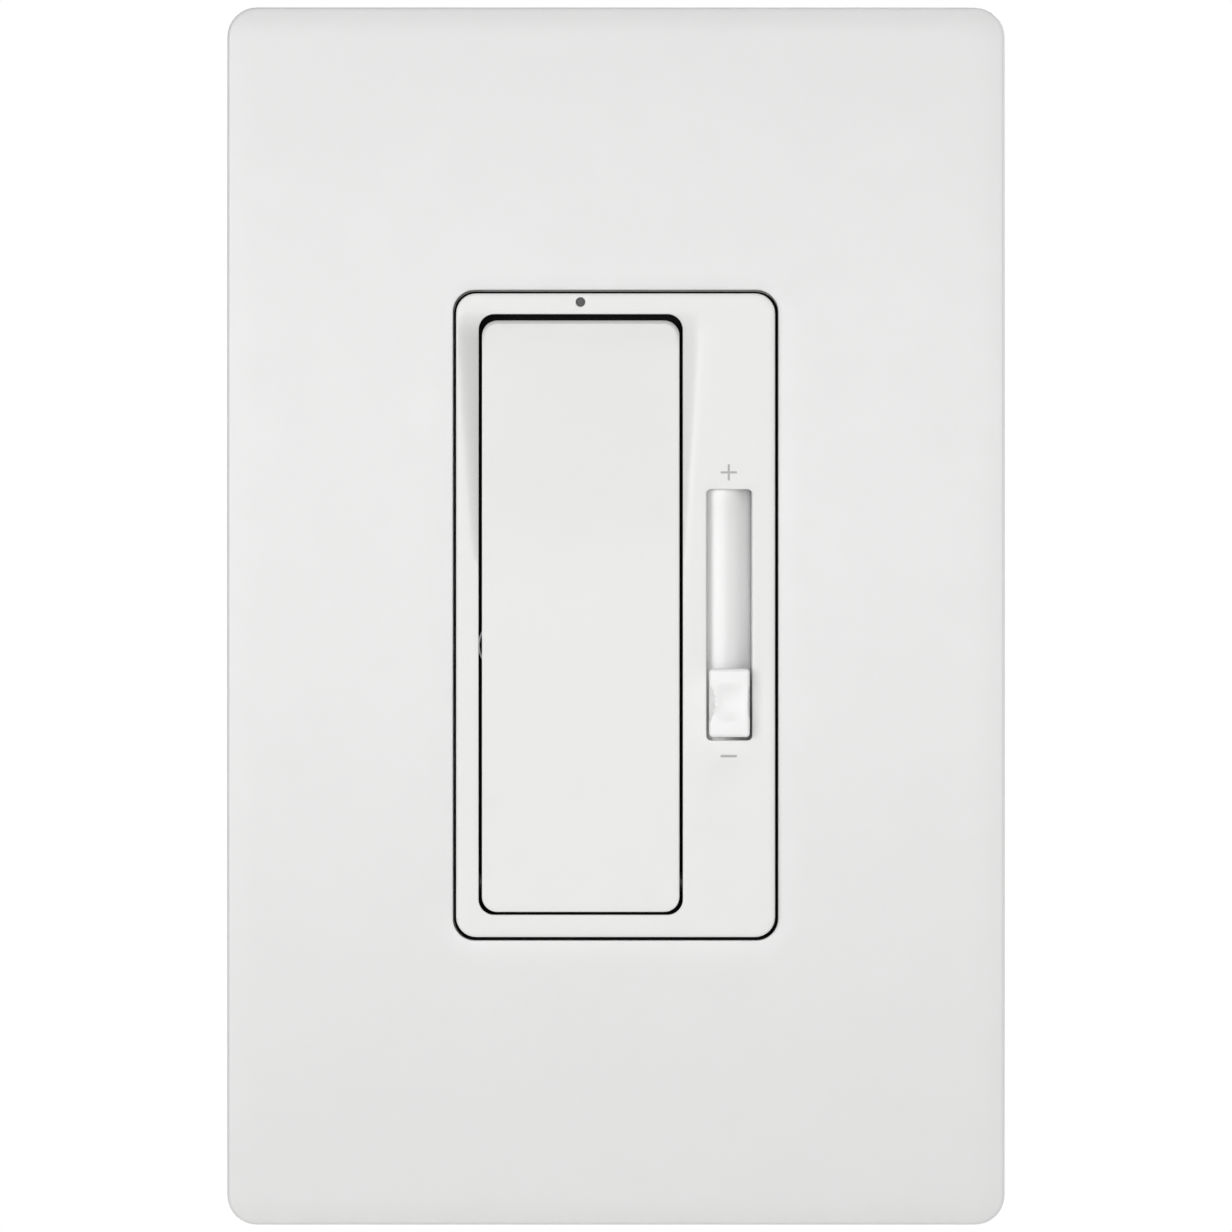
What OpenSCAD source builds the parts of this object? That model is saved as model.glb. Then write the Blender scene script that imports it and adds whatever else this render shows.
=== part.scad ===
// Wall dimmer with a large on/off paddle and a slide control, in a one-gang screwless wall plate.
// Front faces -Y, +Z is up, the wall surface is the plane Y = 0, and the origin lies midway
// between the two box screws.

/* [Wall plate] */
// Width of the outer wall plate
plate_w = 79.8; // [78:0.1:84]
// Height of the outer wall plate
plate_h = 125; // [123:0.5:132]
// Corner radius of the wall plate
plate_r = 3.05; // [1:0.05:6]
// How far the middle of the plate stands off the wall
plate_out = 6.6; // [6:0.1:7]
// How much lower the top and bottom edges are than the middle
plate_crown = 1.2; // [0.8:0.1:1.6]
// Wall thickness of the plate
plate_wall = 1.8; // [1.4:0.1:2]
// Width of the device opening
opening_w = 33.3; // [33.2:0.05:33.6]
// Height of the device opening
opening_h = 66.7; // [66.6:0.05:67]

/* [Bezel] */
// Width of the device bezel
bezel_w = 32.75; // [32.5:0.05:33]
// Height of the device bezel
bezel_h = 66.15; // [66:0.05:66.4]
// Distance of the bezel face from the wall
bezel_out = 7.6; // [7.4:0.1:8]
// Wall thickness of the bezel
bezel_wall = 1.4; // [1.2:0.1:1.6]

/* [Paddle] */
// Width of the on/off paddle
paddle_w = 20.34; // [19.8:0.02:20.5]
// Height of the on/off paddle
paddle_h = 60.7; // [60:0.1:60.9]
// Sideways position of the paddle's middle
paddle_x = -3.62; // [-3.8:0.02:-3.5]
// Depth of the paddle's top edge below the bezel face
paddle_sink = 1.6; // [1:0.1:1.8]
// Clearance beside the paddle
paddle_gap = 0.31; // [0.25:0.01:0.4]
// Clearance above the paddle
paddle_top_gap = 0.63; // [0.5:0.01:0.8]

/* [Slide] */
// Sideways position of the slide slot
slot_x = 11.62; // [11.5:0.02:11.7]
// Width of the slide slot
slot_w = 4.69; // [4.5:0.01:4.9]
// Height of the slide slot
slot_h = 25.75; // [25:0.05:26]
// Width of the slide knob
knob_w = 4.17; // [4:0.01:4.25]
// Height of the slide knob
knob_h = 7; // [6.5:0.1:7.2]
// Travel of the slide knob
slide_travel = 18; // [16:0.5:18]

/* [Strap and housing] */
// Width of the metal mounting strap
strap_w = 44; // [42:0.5:46]
// Height of the metal mounting strap
strap_h = 105.4; // [104:0.1:108]
// Thickness of the metal mounting strap
strap_t = 1.5; // [1.4:0.1:1.6]
// Distance between the two box screws
box_pitch = 83.3; // [83:0.1:83.6]
// Distance between the two plate screws
plate_pitch = 96.84; // [96.6:0.02:97]
// Width of the rear housing
housing_w = 44; // [43:0.5:45]
// Depth of the rear housing behind the wall
housing_d = 30; // [29:0.5:32]
// Wall thickness of the rear housing
housing_wall = 1.4; // [1.2:0.1:1.6]

/* [Colours] */
// Moulded front parts
front_colour = "#f1f1ef"; // color
// Rear housing
rear_colour = "#26292d"; // color
// Mounting strap
strap_colour = "#b9bcc0"; // color
// Circuit board
board_colour = "#2f6b3c"; // color

/* [Hidden] */
$fn = 64;
eps = 0.01;

// Screw threads, and the plain neck that keeps each box screw captive
thread_r = 1.75;
neck_r = 1.55;
neck_end = 0;

// Depths, counted along Y with the wall surface at zero
strap_y = -strap_t;
sub_t = 1.8;
sub_y = strap_y - sub_t;
bezel_y = -bezel_out;
shell_in_y = bezel_y + bezel_wall;
crown_r = (pow(plate_h / 2, 2) + pow(plate_crown, 2)) / (2 * plate_crown);

// Paddle window and its place in the bezel
window_w = paddle_w + 2 * paddle_gap;
window_bottom = -paddle_h / 2 - 0.3;
window_top = paddle_h / 2 + paddle_top_gap;
window_h = window_top - window_bottom;
window_z = (window_top + window_bottom) / 2;
window_left = paddle_x - window_w / 2;
window_right = paddle_x + window_w / 2;

// The paddle face is flush up to bend_z and then runs inward to its top edge
bend_z = 4;
sink_slope = paddle_sink / (paddle_h / 2 - bend_z);
scoop_slope = 0.107;
paddle_t = 1.8;
hook_z = 25;
hinge_y = -3.5;
hinge_z = -27.3;
pin_r = 1;
running_gap = 0.05;

// Slide parts
slot_z = 0.12;
slot_r = 0.5;
knob_z = -8.9;
shutter_w = 5.5;
shutter_y = bezel_y + 1.45;
shutter_t = 1.4;
shutter_crown_r = 4.2;
shutter_bottom = slot_z - slot_h / 2 - slide_travel - 0.2;
shutter_top = slot_z + slot_h / 2 + 0.3;
pot_w = 9;
pot_h = 34;

// Depths of the parts behind the strap
board_y = 7.1;
board_t = 1.6;
board_w = 40.4;
board_bottom = -31.2;
board_top = 33.2;
housing_bottom = -33;
housing_top = 35;
housing_z = (housing_top + housing_bottom) / 2;
housing_h = housing_top - housing_bottom;
post_x = 19;
post_z = [-30.2, 32.2];
screw_r = 1.25;

// On/off switch
switch_x = paddle_x;
switch_z = 22;
switch_w = 12;
plunger_r = 1.6;
plunger_travel = 1.73;

// Triac, with its screw hole above and its legs below
triac_x = -11.3;
triac_z = -3;
triac_w = 10;
leg_pitch = 2.54;
pad_t = 0.3;
leg_z = -24;

// Light pipe
pipe_x = -3.64;
pipe_z = 32.2;
pipe_r = 0.44;
led_z = 31.2;

// Trimmer
trim_x = 18.7;
trim_z = -24;

// Terminals: side (-1 left, 1 right) and height
terminals = [[-1, 15], [-1, -9], [1, 15]];
terminal_y = 18.5;
pocket_x = 17.2;
pocket_w = 9.4;
pocket_d = 12.5;
wire_r = 1.3;
wire_x = 19.6;
wire_off = 2.9;

// Ground screw
ground_x = -9;
ground_y = 4.9;
tab_z = -34.4;

// Rectangle with rounded corners, centred
module rounded_rect(w, h, r) {
    square([w - 2 * r, h], center = true);
    square([w, h - 2 * r], center = true);
    for (sx = [-1, 1], sz = [-1, 1])
        translate([sx * (w / 2 - r), sz * (h / 2 - r)]) circle(r);
}

// Upright plate between the depths y0 and y1, centred on x and z
module upright(w, h, r, y0, y1, x = 0, z = 0) {
    translate([x, y1, z]) rotate([90, 0, 0]) linear_extrude(y1 - y0) rounded_rect(w, h, r);
}

// Plain block given by its limits
module block(x0, x1, y0, y1, z0, z1) {
    translate([x0, y0, z0]) cube([x1 - x0, y1 - y0, z1 - z0]);
}

// Round bar along Y, X or Z
module bar_y(r, y0, y1, x, z) {
    translate([x, y0, z]) rotate([-90, 0, 0]) cylinder(h = y1 - y0, r = r);
}

module bar_x(r, x0, x1, y, z) {
    translate([x0, y, z]) rotate([0, 90, 0]) cylinder(h = x1 - x0, r = r);
}

module bar_z(r, z0, z1, x, y) {
    translate([x, y, z0]) cylinder(h = z1 - z0, r = r);
}

// Profile in the Y-Z plane, extruded between x0 and x1
module side_profile(x0, x1, points) {
    translate([x0, 0, 0]) rotate([90, 0, 90]) linear_extrude(x1 - x0) polygon(points);
}

// Straight slot of radius r and overall length, along X
module slot_cut(r, length, y0, y1, x, z) {
    bar_y(r, y0, y1, x - length / 2 + r, z);
    bar_y(r, y0, y1, x + length / 2 - r, z);
    block(x - length / 2 + r, x + length / 2 - r, y0, y1, z - r, z + r);
}

// Block with a crowned front, set back from the plate's face by inset
module crowned(inset) {
    z_max = plate_h / 2 + 1;
    arc = [for (i = [-20:20]) crown_point(z_max * i / 20, inset)];
    side_profile(-plate_w, plate_w, concat([[1, -z_max]], arc, [[1, z_max]]));
}

function crown_point(z, inset) =
    [crown_r - plate_out + inset - sqrt(crown_r * crown_r - z * z), z];

// Screwless cover with a crowned face and snap ribs inside its long sides
module cover_plate() color(front_colour) {
    difference() {
        intersection() {
            upright(plate_w, plate_h, plate_r, -plate_out - 1, 0);
            crowned(0);
        }
        intersection() {
            upright(plate_w - 2 * plate_wall, plate_h - 2 * plate_wall, plate_r - 1,
                -plate_out - 1, 0.5);
            crowned(plate_wall);
        }
        upright(opening_w, opening_h, 2.25, -plate_out - 2, 1);
    }
    for (side = [-1, 1], z = [-34, 34])
        block(side < 0 ? -plate_w / 2 + plate_wall - eps : plate_w / 2 - plate_wall - 0.45,
            side < 0 ? -plate_w / 2 + plate_wall + 0.45 : plate_w / 2 - plate_wall + eps,
            -1, -0.3, z - 7, z + 7);
}

// Adapter frame that the cover snaps onto
module sub_plate() color(front_colour) {
    w = 75.2;
    h = 120.4;
    difference() {
        union() {
            upright(w, h, 1.8, sub_y, strap_y);
            difference() {
                upright(w, h, 1.8, strap_y - eps, 0);
                upright(w - 4, h - 4, 1, sub_y, 1);
                for (side = [-1, 1], z = [-34, 34])
                    block(side * w / 2 - 0.6, side * w / 2 + 0.6, -1.2, 1, z - 7.5, z + 7.5);
            }
            for (side = [-1, 1])
                block(side * 28 - 0.6, side * 28 + 0.6, sub_y - 0.6, sub_y + eps, -40, 40);
        }
        upright(opening_w, opening_h, 2.25, sub_y - 1, 1);
        for (end = [-1, 1]) {
            bar_y(4, sub_y - 1, 1, 0, end * box_pitch / 2);
            bar_y(1.85, sub_y - 1, 1, 0, end * plate_pitch / 2);
            translate([0, sub_y - eps, end * plate_pitch / 2]) rotate([-90, 0, 0])
                cylinder(h = 1.3, r1 = 3.25, r2 = 1.85);
        }
    }
}

// Two countersunk screws that hold the adapter frame to the strap
module plate_screws() color("silver")
    for (end = [-1, 1]) translate([0, sub_y + 0.05, end * plate_pitch / 2]) rotate([-90, 0, 0])
        difference() {
            union() {
                cylinder(h = 1.25, r1 = 3.15, r2 = thread_r);
                cylinder(h = 6.2, r = thread_r);
            }
            translate([0, 0, 0.2]) cube([8, 0.9, 1.1], center = true);
        }

// Two oval-head screws that go into the wall box
module box_screws() color("silver")
    for (end = [-1, 1]) difference() {
        union() {
            bar_y(3.3, strap_y - 1, strap_y, 0, end * box_pitch / 2);
            intersection() {
                bar_y(3.3, strap_y - 2.2, strap_y, 0, end * box_pitch / 2);
                translate([0, strap_y + 1.65, end * box_pitch / 2]) sphere(3.9);
            }
            bar_y(neck_r, strap_y - eps, neck_end + eps, 0, end * box_pitch / 2);
            bar_y(thread_r, neck_end, 22, 0, end * box_pitch / 2);
            translate([0, 22, end * box_pitch / 2]) rotate([-90, 0, 0])
                cylinder(h = 1.4, r1 = thread_r, r2 = 0.9);
        }
        block(-4, 4, strap_y - 3, strap_y - 1.2, end * box_pitch / 2 - 0.5,
            end * box_pitch / 2 + 0.5);
    }

// Fibre squares let into the back of the strap that keep the box screws captive
module screw_retainers() color("#a8482f")
    for (end = [-1, 1]) difference() {
        upright(8, 8, 0.6, -0.5, 0, 0, end * box_pitch / 2);
        bar_y(neck_r, -1, 1, 0, end * box_pitch / 2);
    }

// Flat scoop between the sunken top of the paddle and the bezel face, on one side of the window
module scoop(side, edge, width) {
    rise = sink_slope / scoop_slope;
    top_z = window_top + 0.2;
    depth = sink_slope * (top_z - bend_z);
    polyhedron(
        points = [
            [edge, bezel_y, bend_z],
            [edge - side * 0.5, bezel_y, bend_z],
            [edge - side * 0.5, bezel_y - 0.5, bend_z],
            [edge + side * 0.2, bezel_y - 0.5, bend_z],
            [edge, bezel_y + depth, top_z],
            [edge - side * 0.5, bezel_y + depth, top_z],
            [edge - side * 0.5, bezel_y - 0.5, top_z],
            [edge + side * (depth + 0.5) / rise * width, bezel_y - 0.5, top_z]
        ],
        faces = side > 0
            ? [[0, 1, 2], [0, 2, 3], [4, 6, 5], [4, 7, 6], [0, 4, 5], [0, 5, 1],
               [1, 5, 6], [1, 6, 2], [2, 6, 7], [2, 7, 3], [0, 3, 4], [3, 7, 4]]
            : [[0, 2, 1], [0, 3, 2], [4, 5, 6], [4, 6, 7], [0, 5, 4], [0, 1, 5],
               [1, 6, 5], [1, 2, 6], [2, 7, 6], [2, 3, 7], [0, 4, 3], [3, 4, 7]]
    );
}

// Front bezel: a box open at the back, with the paddle window, slide slot and lamp hole
module bezel() color(front_colour) difference() {
    union() {
        difference() {
            upright(bezel_w, bezel_h, 2.05, bezel_y, strap_y);
            upright(bezel_w - 2 * bezel_wall, bezel_h - 2 * bezel_wall, 0.8, shell_in_y, 0);
        }
        // Wall between the paddle bay and the slide bay, which carries one end of the pin
        block(7, 8.3, shell_in_y - eps, strap_y, -31.9, 31.9);
        // Snap hooks through the strap
        for (side = [-1, 1], z = [-hook_z, hook_z]) {
            block(side * 15.3 - 0.6, side * 15.3 + 0.6, strap_y - 1, 1.6, z - 2.5, z + 2.5);
            side_catch(side, z);
        }
    }
    upright(window_w, window_h, 1.6, bezel_y - 1, shell_in_y + 0.1, paddle_x, window_z);
    upright(slot_w, slot_h, slot_r, bezel_y - 1, shell_in_y + 0.1, slot_x, slot_z);
    bar_y(0.485, bezel_y - 1, strap_y + 1, pipe_x, pipe_z);
    scoop(1, window_right, 1);
    scoop(-1, window_left, 0.85);
    // Ends of the paddle's pin
    bar_x(pin_r, -15.9, 7.9, hinge_y, hinge_z);
    // Plus and minus marks
    block(11.57 - 0.83, 11.57 + 0.83, bezel_y - 1, bezel_y + 0.15, 14.73 - 0.11, 14.73 + 0.11);
    block(11.57 - 0.11, 11.57 + 0.11, bezel_y - 1, bezel_y + 0.15, 14.73 - 0.83, 14.73 + 0.83);
    block(11.57 - 0.83, 11.57 + 0.83, bezel_y - 1, bezel_y + 0.15, -14.37 - 0.14,
        -14.37 + 0.14);
}

// Sloped barb on the end of a snap hook, turned outwards
module side_catch(side, z)
    translate([0, 0, z - 2.5]) linear_extrude(5)
        polygon([[side * 15.8, 0.05], [side * 16.5, 0.05], [side * 15.8, 1.5]]);

// Paddle outline from the side: flush below, then a soft bend and a straight run inward
function face_y(z) = z < bend_z - 6 ? bezel_y
    : z > bend_z + 6 ? bezel_y + sink_slope * (z - bend_z)
    : bezel_y + sink_slope * pow(z - bend_z + 6, 2) / 24;

module paddle() color(front_colour) {
    bottom = -paddle_h / 2;
    top = paddle_h / 2;
    steps = [for (i = [0:6]) bend_z - 6 + 2 * i];
    difference() {
        union() {
            intersection() {
                side_profile(paddle_x - paddle_w / 2, paddle_x + paddle_w / 2, concat(
                    [[shell_in_y + 0.6, bottom], [bezel_y + 0.5, bottom], [bezel_y, bottom + 0.5]],
                    [for (z = steps) [face_y(z), z]],
                    [[face_y(top - 0.4), top - 0.4], [face_y(top) + 0.5, top],
                     [shell_in_y + 1.4, top]]));
                upright(paddle_w, paddle_h, 1.55, -20, 0, paddle_x, 0);
            }
            // Side skirts
            for (side = [-1, 1])
                block(paddle_x + side * 9.2 - 0.5, paddle_x + side * 9.2 + 0.5,
                    shell_in_y + 0.5, -3.9, -25, 27.5);
            // Hinge lugs
            for (side = [-1, 1]) {
                block(paddle_x + side * 8.4 - 0.8, paddle_x + side * 8.4 + 0.8,
                    shell_in_y + 0.5, hinge_y, hinge_z - 1.9, hinge_z + 1.9);
                bar_x(1.9, paddle_x + side * 8.4 - 0.8, paddle_x + side * 8.4 + 0.8,
                    hinge_y, hinge_z);
            }
            // Cross rib and the boss that meets the switch plunger
            block(paddle_x - 9.2, paddle_x + 9.2, shell_in_y + 0.5, -4.4, 8, 9);
            bar_y(2.2, shell_in_y + 0.5, -3.35, paddle_x, switch_z);
        }
        // Bore for the pin
        bar_x(pin_r + running_gap, -14, 7, hinge_y, hinge_z);
    }
}

// Steel pin that the paddle rocks on
module paddle_pin() color("silver")
    bar_x(pin_r, -15.9, 7.9, hinge_y, hinge_z);

// Slide knob with a waisted grip, and the stem that goes through the shutter
module slide_knob() color(front_colour) {
    difference() {
        upright(knob_w, knob_h, 0.4, bezel_y - 2.2, shutter_y, slot_x, knob_z);
        // Finger hollows on both flanks
        for (side = [-1, 1])
            translate([slot_x + side * (knob_w / 2 + 5.35), bezel_y - 1.3, knob_z])
                rotate([90, 0, 0]) cylinder(h = 2.4, r = 6, center = true);
        // Hollow across the crown
        bar_x(9, slot_x - 5, slot_x + 5, bezel_y - 2.2 - 8.5, knob_z);
    }
    block(slot_x - 0.8, slot_x + 0.8, shutter_y - eps, -2.2, knob_z - 1.5, knob_z + 1.5);
}

// Strip with a rounded front that closes the slot behind the knob and moves with it
module slide_shutter() color(front_colour) difference() {
    intersection() {
        upright(shutter_w, shutter_top - shutter_bottom, 0.3, shutter_y, shutter_y + shutter_t,
            slot_x, (shutter_top + shutter_bottom) / 2);
        bar_z(shutter_crown_r, -40, 40, slot_x, shutter_y + shutter_crown_r);
    }
    // Stem hole
    block(slot_x - 0.8, slot_x + 0.8, -10, 0, knob_z - 1.5, knob_z + 1.5);
}

// Clear pipe from the lamp to the small hole above the paddle
module light_pipe() color("#d8e4ea") {
    bar_y(pipe_r, bezel_y + 0.9, strap_y + 0.2, pipe_x, pipe_z);
    bar_y(0.9, strap_y + 0.1, 1.4, pipe_x, pipe_z);
    bar_y(1.4, 1.3, 2.4, pipe_x, led_z + 0.4);
}

// Aluminium strap that carries everything and takes the heat
module mounting_strap() color(strap_colour) difference() {
    union() {
        upright(strap_w, 70, 1.2, strap_y, 0, 0, 1);
        upright(33, strap_h, 2, strap_y, 0);
        // Ground tab bent to the back
        block(ground_x - 4.2, ground_x + 4.2, -0.5, 9, tab_z, tab_z + 1.2);
    }
    // Screw holes in the ears
    for (end = [-1, 1]) {
        slot_cut(1.95, 6.5, strap_y - 1, 1, 0, end * box_pitch / 2);
        upright(8, 8, 0.6, -0.5, 1, 0, end * box_pitch / 2);
        bar_y(thread_r, strap_y - 1, 1, 0, end * plate_pitch / 2);
        // Waists beside the ears
        for (side = [-1, 1]) bar_y(4, strap_y - 1, 1, side * 17.5, end * 42 + 0.5);
    }
    // Slots for the slide stem, plunger and light pipe
    upright(2.6, 24, 1.2, strap_y - 1, 1, slot_x, knob_z + 9);
    bar_y(plunger_r + 0.4, strap_y - 1, 1, switch_x, switch_z);
    bar_y(1.2, strap_y - 1, 1, pipe_x, pipe_z);
    // Windows for the bezel hooks
    for (side = [-1, 1], z = [-hook_z, hook_z])
        block(side * 15.3 - (side < 0 ? 1.3 : 0.7), side * 15.3 + (side < 0 ? 0.7 : 1.3),
            strap_y - 1, 1, z - 2.7, z + 2.7);
    // Threads of the housing screws and triac screw, and access to the trimmer
    for (side = [-1, 1], z = post_z) bar_y(screw_r, strap_y - 1, 1, side * post_x, z);
    bar_y(1.5, strap_y - 1, 1, triac_x, triac_z);
    bar_y(2.2, strap_y - 1, 1, trim_x, trim_z);
    // Thread of the ground screw
    bar_z(thread_r, tab_z - 1, tab_z + 2, ground_x, ground_y);
}

// Material to the side of the housing that holds one terminal
module terminal_block(side, z)
    block(side < 0 ? -housing_w / 2 : 15.2, side < 0 ? -15.2 : housing_w / 2,
        10.2, housing_d, z - 6.2, z + 6.2);

// Pocket of one terminal, open to the side, with its two wire entries from the back
module terminal_cut(side, z) {
    block(side < 0 ? -30 : pocket_x, side < 0 ? -pocket_x : 30,
        terminal_y - pocket_d / 2, terminal_y + pocket_d / 2, z - pocket_w / 2, z + pocket_w / 2);
    for (k = [-1, 1])
        bar_y(wire_r, terminal_y, housing_d + 1, side * wire_x, z + k * wire_off);
    block(side < 0 ? -18 : 12, side < 0 ? -12 : 18,
        terminal_y - 2, terminal_y + 2, z - 2, z + 2);
}

// Rear housing: a box open towards the strap
module rear_housing() color(rear_colour) difference() {
    union() {
        difference() {
            upright(housing_w, housing_h, 2, 0, housing_d, 0, housing_z);
            upright(housing_w - 2 * housing_wall, housing_h - 2 * housing_wall, 1,
                -1, housing_d - housing_wall, 0, housing_z);
        }
        intersection() {
            for (side = [-1, 1], z = post_z)
                bar_y(2.9, 0, housing_d, side * post_x, z);
            upright(housing_w, housing_h, 2, 0, housing_d, 0, housing_z);
        }
        for (t = terminals) terminal_block(t[0], t[1]);
    }
    for (side = [-1, 1], z = post_z) {
        bar_y(screw_r, -1, housing_d + 1, side * post_x, z);
        bar_y(2.35, housing_d - 2, housing_d + 1, side * post_x, z);
    }
    for (t = terminals) terminal_cut(t[0], t[1]);
    // Room for the ground screw's end
    block(ground_x - 4.6, ground_x + 4.6, -1, 9.6, housing_bottom - 1, housing_bottom + 0.7);
    bar_z(2.4, housing_bottom - 1, housing_bottom + 2, ground_x, ground_y);
    // Cooling slots in the back wall
    for (i = [-2:2])
        slot_cut(0.6, 14, housing_d - 2, housing_d + 1, 0, 6 + i * 3);
}

// Long screws from the back of the housing into the strap
module housing_screws() color("silver")
    for (side = [-1, 1], z = post_z) difference() {
        union() {
            bar_y(screw_r, strap_y + 0.2, housing_d - 1, side * post_x, z);
            bar_y(2.25, housing_d - 2, housing_d - 0.5, side * post_x, z);
        }
        for (turn = [0, 90]) translate([side * post_x, housing_d - 0.5, z])
            rotate([0, turn, 0]) cube([2.6, 1.4, 0.5], center = true);
    }

// Circuit board with its corners cut round the posts
module circuit_board() color(board_colour) difference() {
    block(-board_w / 2, board_w / 2, board_y, board_y + board_t, board_bottom, board_top);
    for (side = [-1, 1], z = post_z) bar_y(3.2, 0, 20, side * post_x, z);
    for (side = [-1, 1], z = post_z)
        block(side * post_x - (side < 0 ? 3 : 0), side * post_x + (side < 0 ? 0 : 3), 0, 20,
            z - (z < 0 ? 3 : 3.2), z + (z < 0 ? 3.2 : 3));
    // Pin holes of the slider and the triac
    for (z = [-15.5, 15.7]) bar_y(0.45, 0, 20, slot_x, z);
    for (k = [-1, 1]) bar_y(0.45, 0, 20, slot_x + 2.5 * k, 15.7);
    for (k = [-1, 0, 1]) bar_y(0.6, 0, 20, triac_x + leg_pitch * k, leg_z);
}

// Indicator lamp on the board
module led_lamp() color("#eef3f5") {
    bar_y(1.5, 3.6, 6.6, pipe_x, led_z);
    bar_y(1.7, 6.1, board_y, pipe_x, led_z);
    intersection() {
        translate([pipe_x, 3.8, led_z]) sphere(1.5);
        bar_y(1.5, 2.6, 3.8, pipe_x, led_z);
    }
}

// Switch: moulded base on the board
module switch_base() color("#1f2226") difference() {
    upright(switch_w, switch_w, 0.5, 1.6, board_y, switch_x, switch_z);
    upright(switch_w - 2, switch_w - 2, 0.3, 1, board_y - 1, switch_x, switch_z);
}

// Switch: lid with the plunger's guide hole
module switch_cover() color("#d9d4c6") difference() {
    upright(switch_w, switch_w, 0.5, 0.6, 1.6, switch_x, switch_z);
    bar_y(plunger_r + running_gap, 0, 2, switch_x, switch_z);
}

// Switch: plunger pressed by the paddle
module switch_plunger() color("#c7442f") {
    bar_y(plunger_r, -3.3, 2, switch_x, switch_z);
    bar_y(2.4, 1.7, 2.5, switch_x, switch_z);
}

// Switch: return spring round the plunger's foot
module plunger_spring() color("silver")
    for (i = [0:2]) translate([switch_x, 2.9 + 1.3 * i, switch_z]) rotate([-90, 0, 0])
        rotate_extrude() translate([1.75, 0]) circle(0.25);

// Switch: sprung blade that carries the moving contact
module contact_arm() color("#b8733a") {
    block(switch_x - 4.2, switch_x + 3.6, 5.3, 5.6, switch_z - 4.7, switch_z - 3.1);
    bar_z(0.5, switch_z - 4.7, switch_z - 3.1, switch_x - 4.2, 5.45);
    bar_y(0.8, 4.9, 5.35, switch_x + 2.8, switch_z - 3.9);
}

// Switch: fixed contact with its tail
module fixed_contacts() color("#b8733a") {
    bar_y(0.9, 3.5, 4, switch_x + 2.8, switch_z - 3.9);
    block(switch_x + 2, switch_x + 5, 3.1, 3.5, switch_z - 4.7, switch_z - 3.1);
    block(switch_x + 4.6, switch_x + 5, 3.1, 6.1, switch_z - 4.7, switch_z - 3.1);
}

// Slide potentiometer: folded metal case
module slider_case() color("#c9cbcd") difference() {
    upright(pot_w, pot_h, 0.6, 0.7, 6.6, slot_x, knob_z + 9);
    upright(pot_w - 1, pot_h - 1, 0.3, 1.2, 8, slot_x, knob_z + 9);
    upright(2.4, 25, 1.1, 0, 2, slot_x, knob_z + 9);
}

// Slide potentiometer: resistive track card that closes the case
module slider_track() color("#6b4a2b")
    upright(pot_w, pot_h, 0.6, 6.6, board_y, slot_x, knob_z + 9);

// Slide potentiometer: carriage with the lever that meets the knob stem
module slider_carriage() color("#e4e2da") {
    upright(7, 7.6, 0.4, 2, 5.2, slot_x, knob_z);
    block(slot_x - 0.95, slot_x + 0.95, -2.2, 2.1, knob_z - 1.5, knob_z + 1.5);
}

// Slide potentiometer: three-finger wipers under the carriage
module wiper_contacts() color("#c9a24a")
    for (k = [-1, 1]) {
        block(slot_x + 2 * k - 0.7, slot_x + 2 * k + 0.7, 5.2, 5.5, knob_z - 3, knob_z + 3);
        side_profile(slot_x + 2 * k - 0.5, slot_x + 2 * k + 0.5, [[5.4, knob_z - 3],
            [5.6, knob_z - 3], [6.55, knob_z - 0.2], [6.5, knob_z + 0.2], [6.2, knob_z]]);
    }

// Slide potentiometer: pins through the board
module slider_pins() color("silver") {
    for (z = [-15.5, 15.7]) bar_y(0.4, board_y, 10.2, slot_x, z);
    for (k = [-1, 1]) bar_y(0.4, board_y, 10.2, slot_x + 2.5 * k, 15.7);
}

// Triac clamped to the strap through an insulating pad
module triac() color("#2b2b2e") {
    tab_bottom = triac_z - 10.9;
    body_bottom = triac_z - 14.2;
    difference() {
        upright(triac_w, 15.4, 0.4, pad_t, 1.6, triac_x, tab_bottom + 7.7);
        bar_y(1.8, -1, 3, triac_x, triac_z);
    }
    upright(triac_w, 9.2, 0.4, 1.6, 4.8, triac_x, body_bottom + 4.6);
    for (k = [-1, 0, 1]) {
        x = triac_x + leg_pitch * k;
        block(x - 0.4, x + 0.4, 2.4, 2.9, leg_z - 0.3, body_bottom + 0.2);
        block(x - 0.4, x + 0.4, 2.4, 10, leg_z - 0.3, leg_z + 0.2);
    }
}

module triac_pad() color("#8f9aa3") difference() {
    upright(triac_w + 2, 18, 0.4, 0, pad_t, triac_x, triac_z - 4.4);
    bar_y(1.8, -1, 3, triac_x, triac_z);
}

// Screw and nut that clamp the triac
module triac_screw() color("silver") difference() {
    head_y = strap_y - 1.2;
    union() {
        bar_y(2.7, head_y, strap_y, triac_x, triac_z);
        bar_y(1.5, strap_y - eps, 5.2, triac_x, triac_z);
        translate([triac_x, 1.6, triac_z]) rotate([-90, 0, 0]) cylinder(h = 2.3, r = 2.9, $fn = 6);
    }
    for (turn = [0, 90]) translate([triac_x, head_y, triac_z])
        rotate([0, turn, 0]) cube([3, 1.4, 0.6], center = true);
}

// Toroidal choke
choke = [0, 17.2, -14];
module choke_core() color("#c8b23a") translate([choke.x, choke.y, choke.z])
    rotate([-90, 0, 0]) difference() {
        cylinder(h = 8, r = 10, center = true);
        cylinder(h = 9, r = 5, center = true);
    }

module choke_winding() color("#b4652c") translate([choke.x, choke.y, choke.z])
    rotate([-90, 0, 0]) for (i = [0:23]) rotate([0, 0, 20 + i * 320 / 23])
        difference() {
            translate([7.5, 0, 0]) cube([6.8, 0.9, 9.8], center = true);
            translate([7.5, 0, 0]) cube([5.1, 2, 8.04], center = true);
        }

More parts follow.
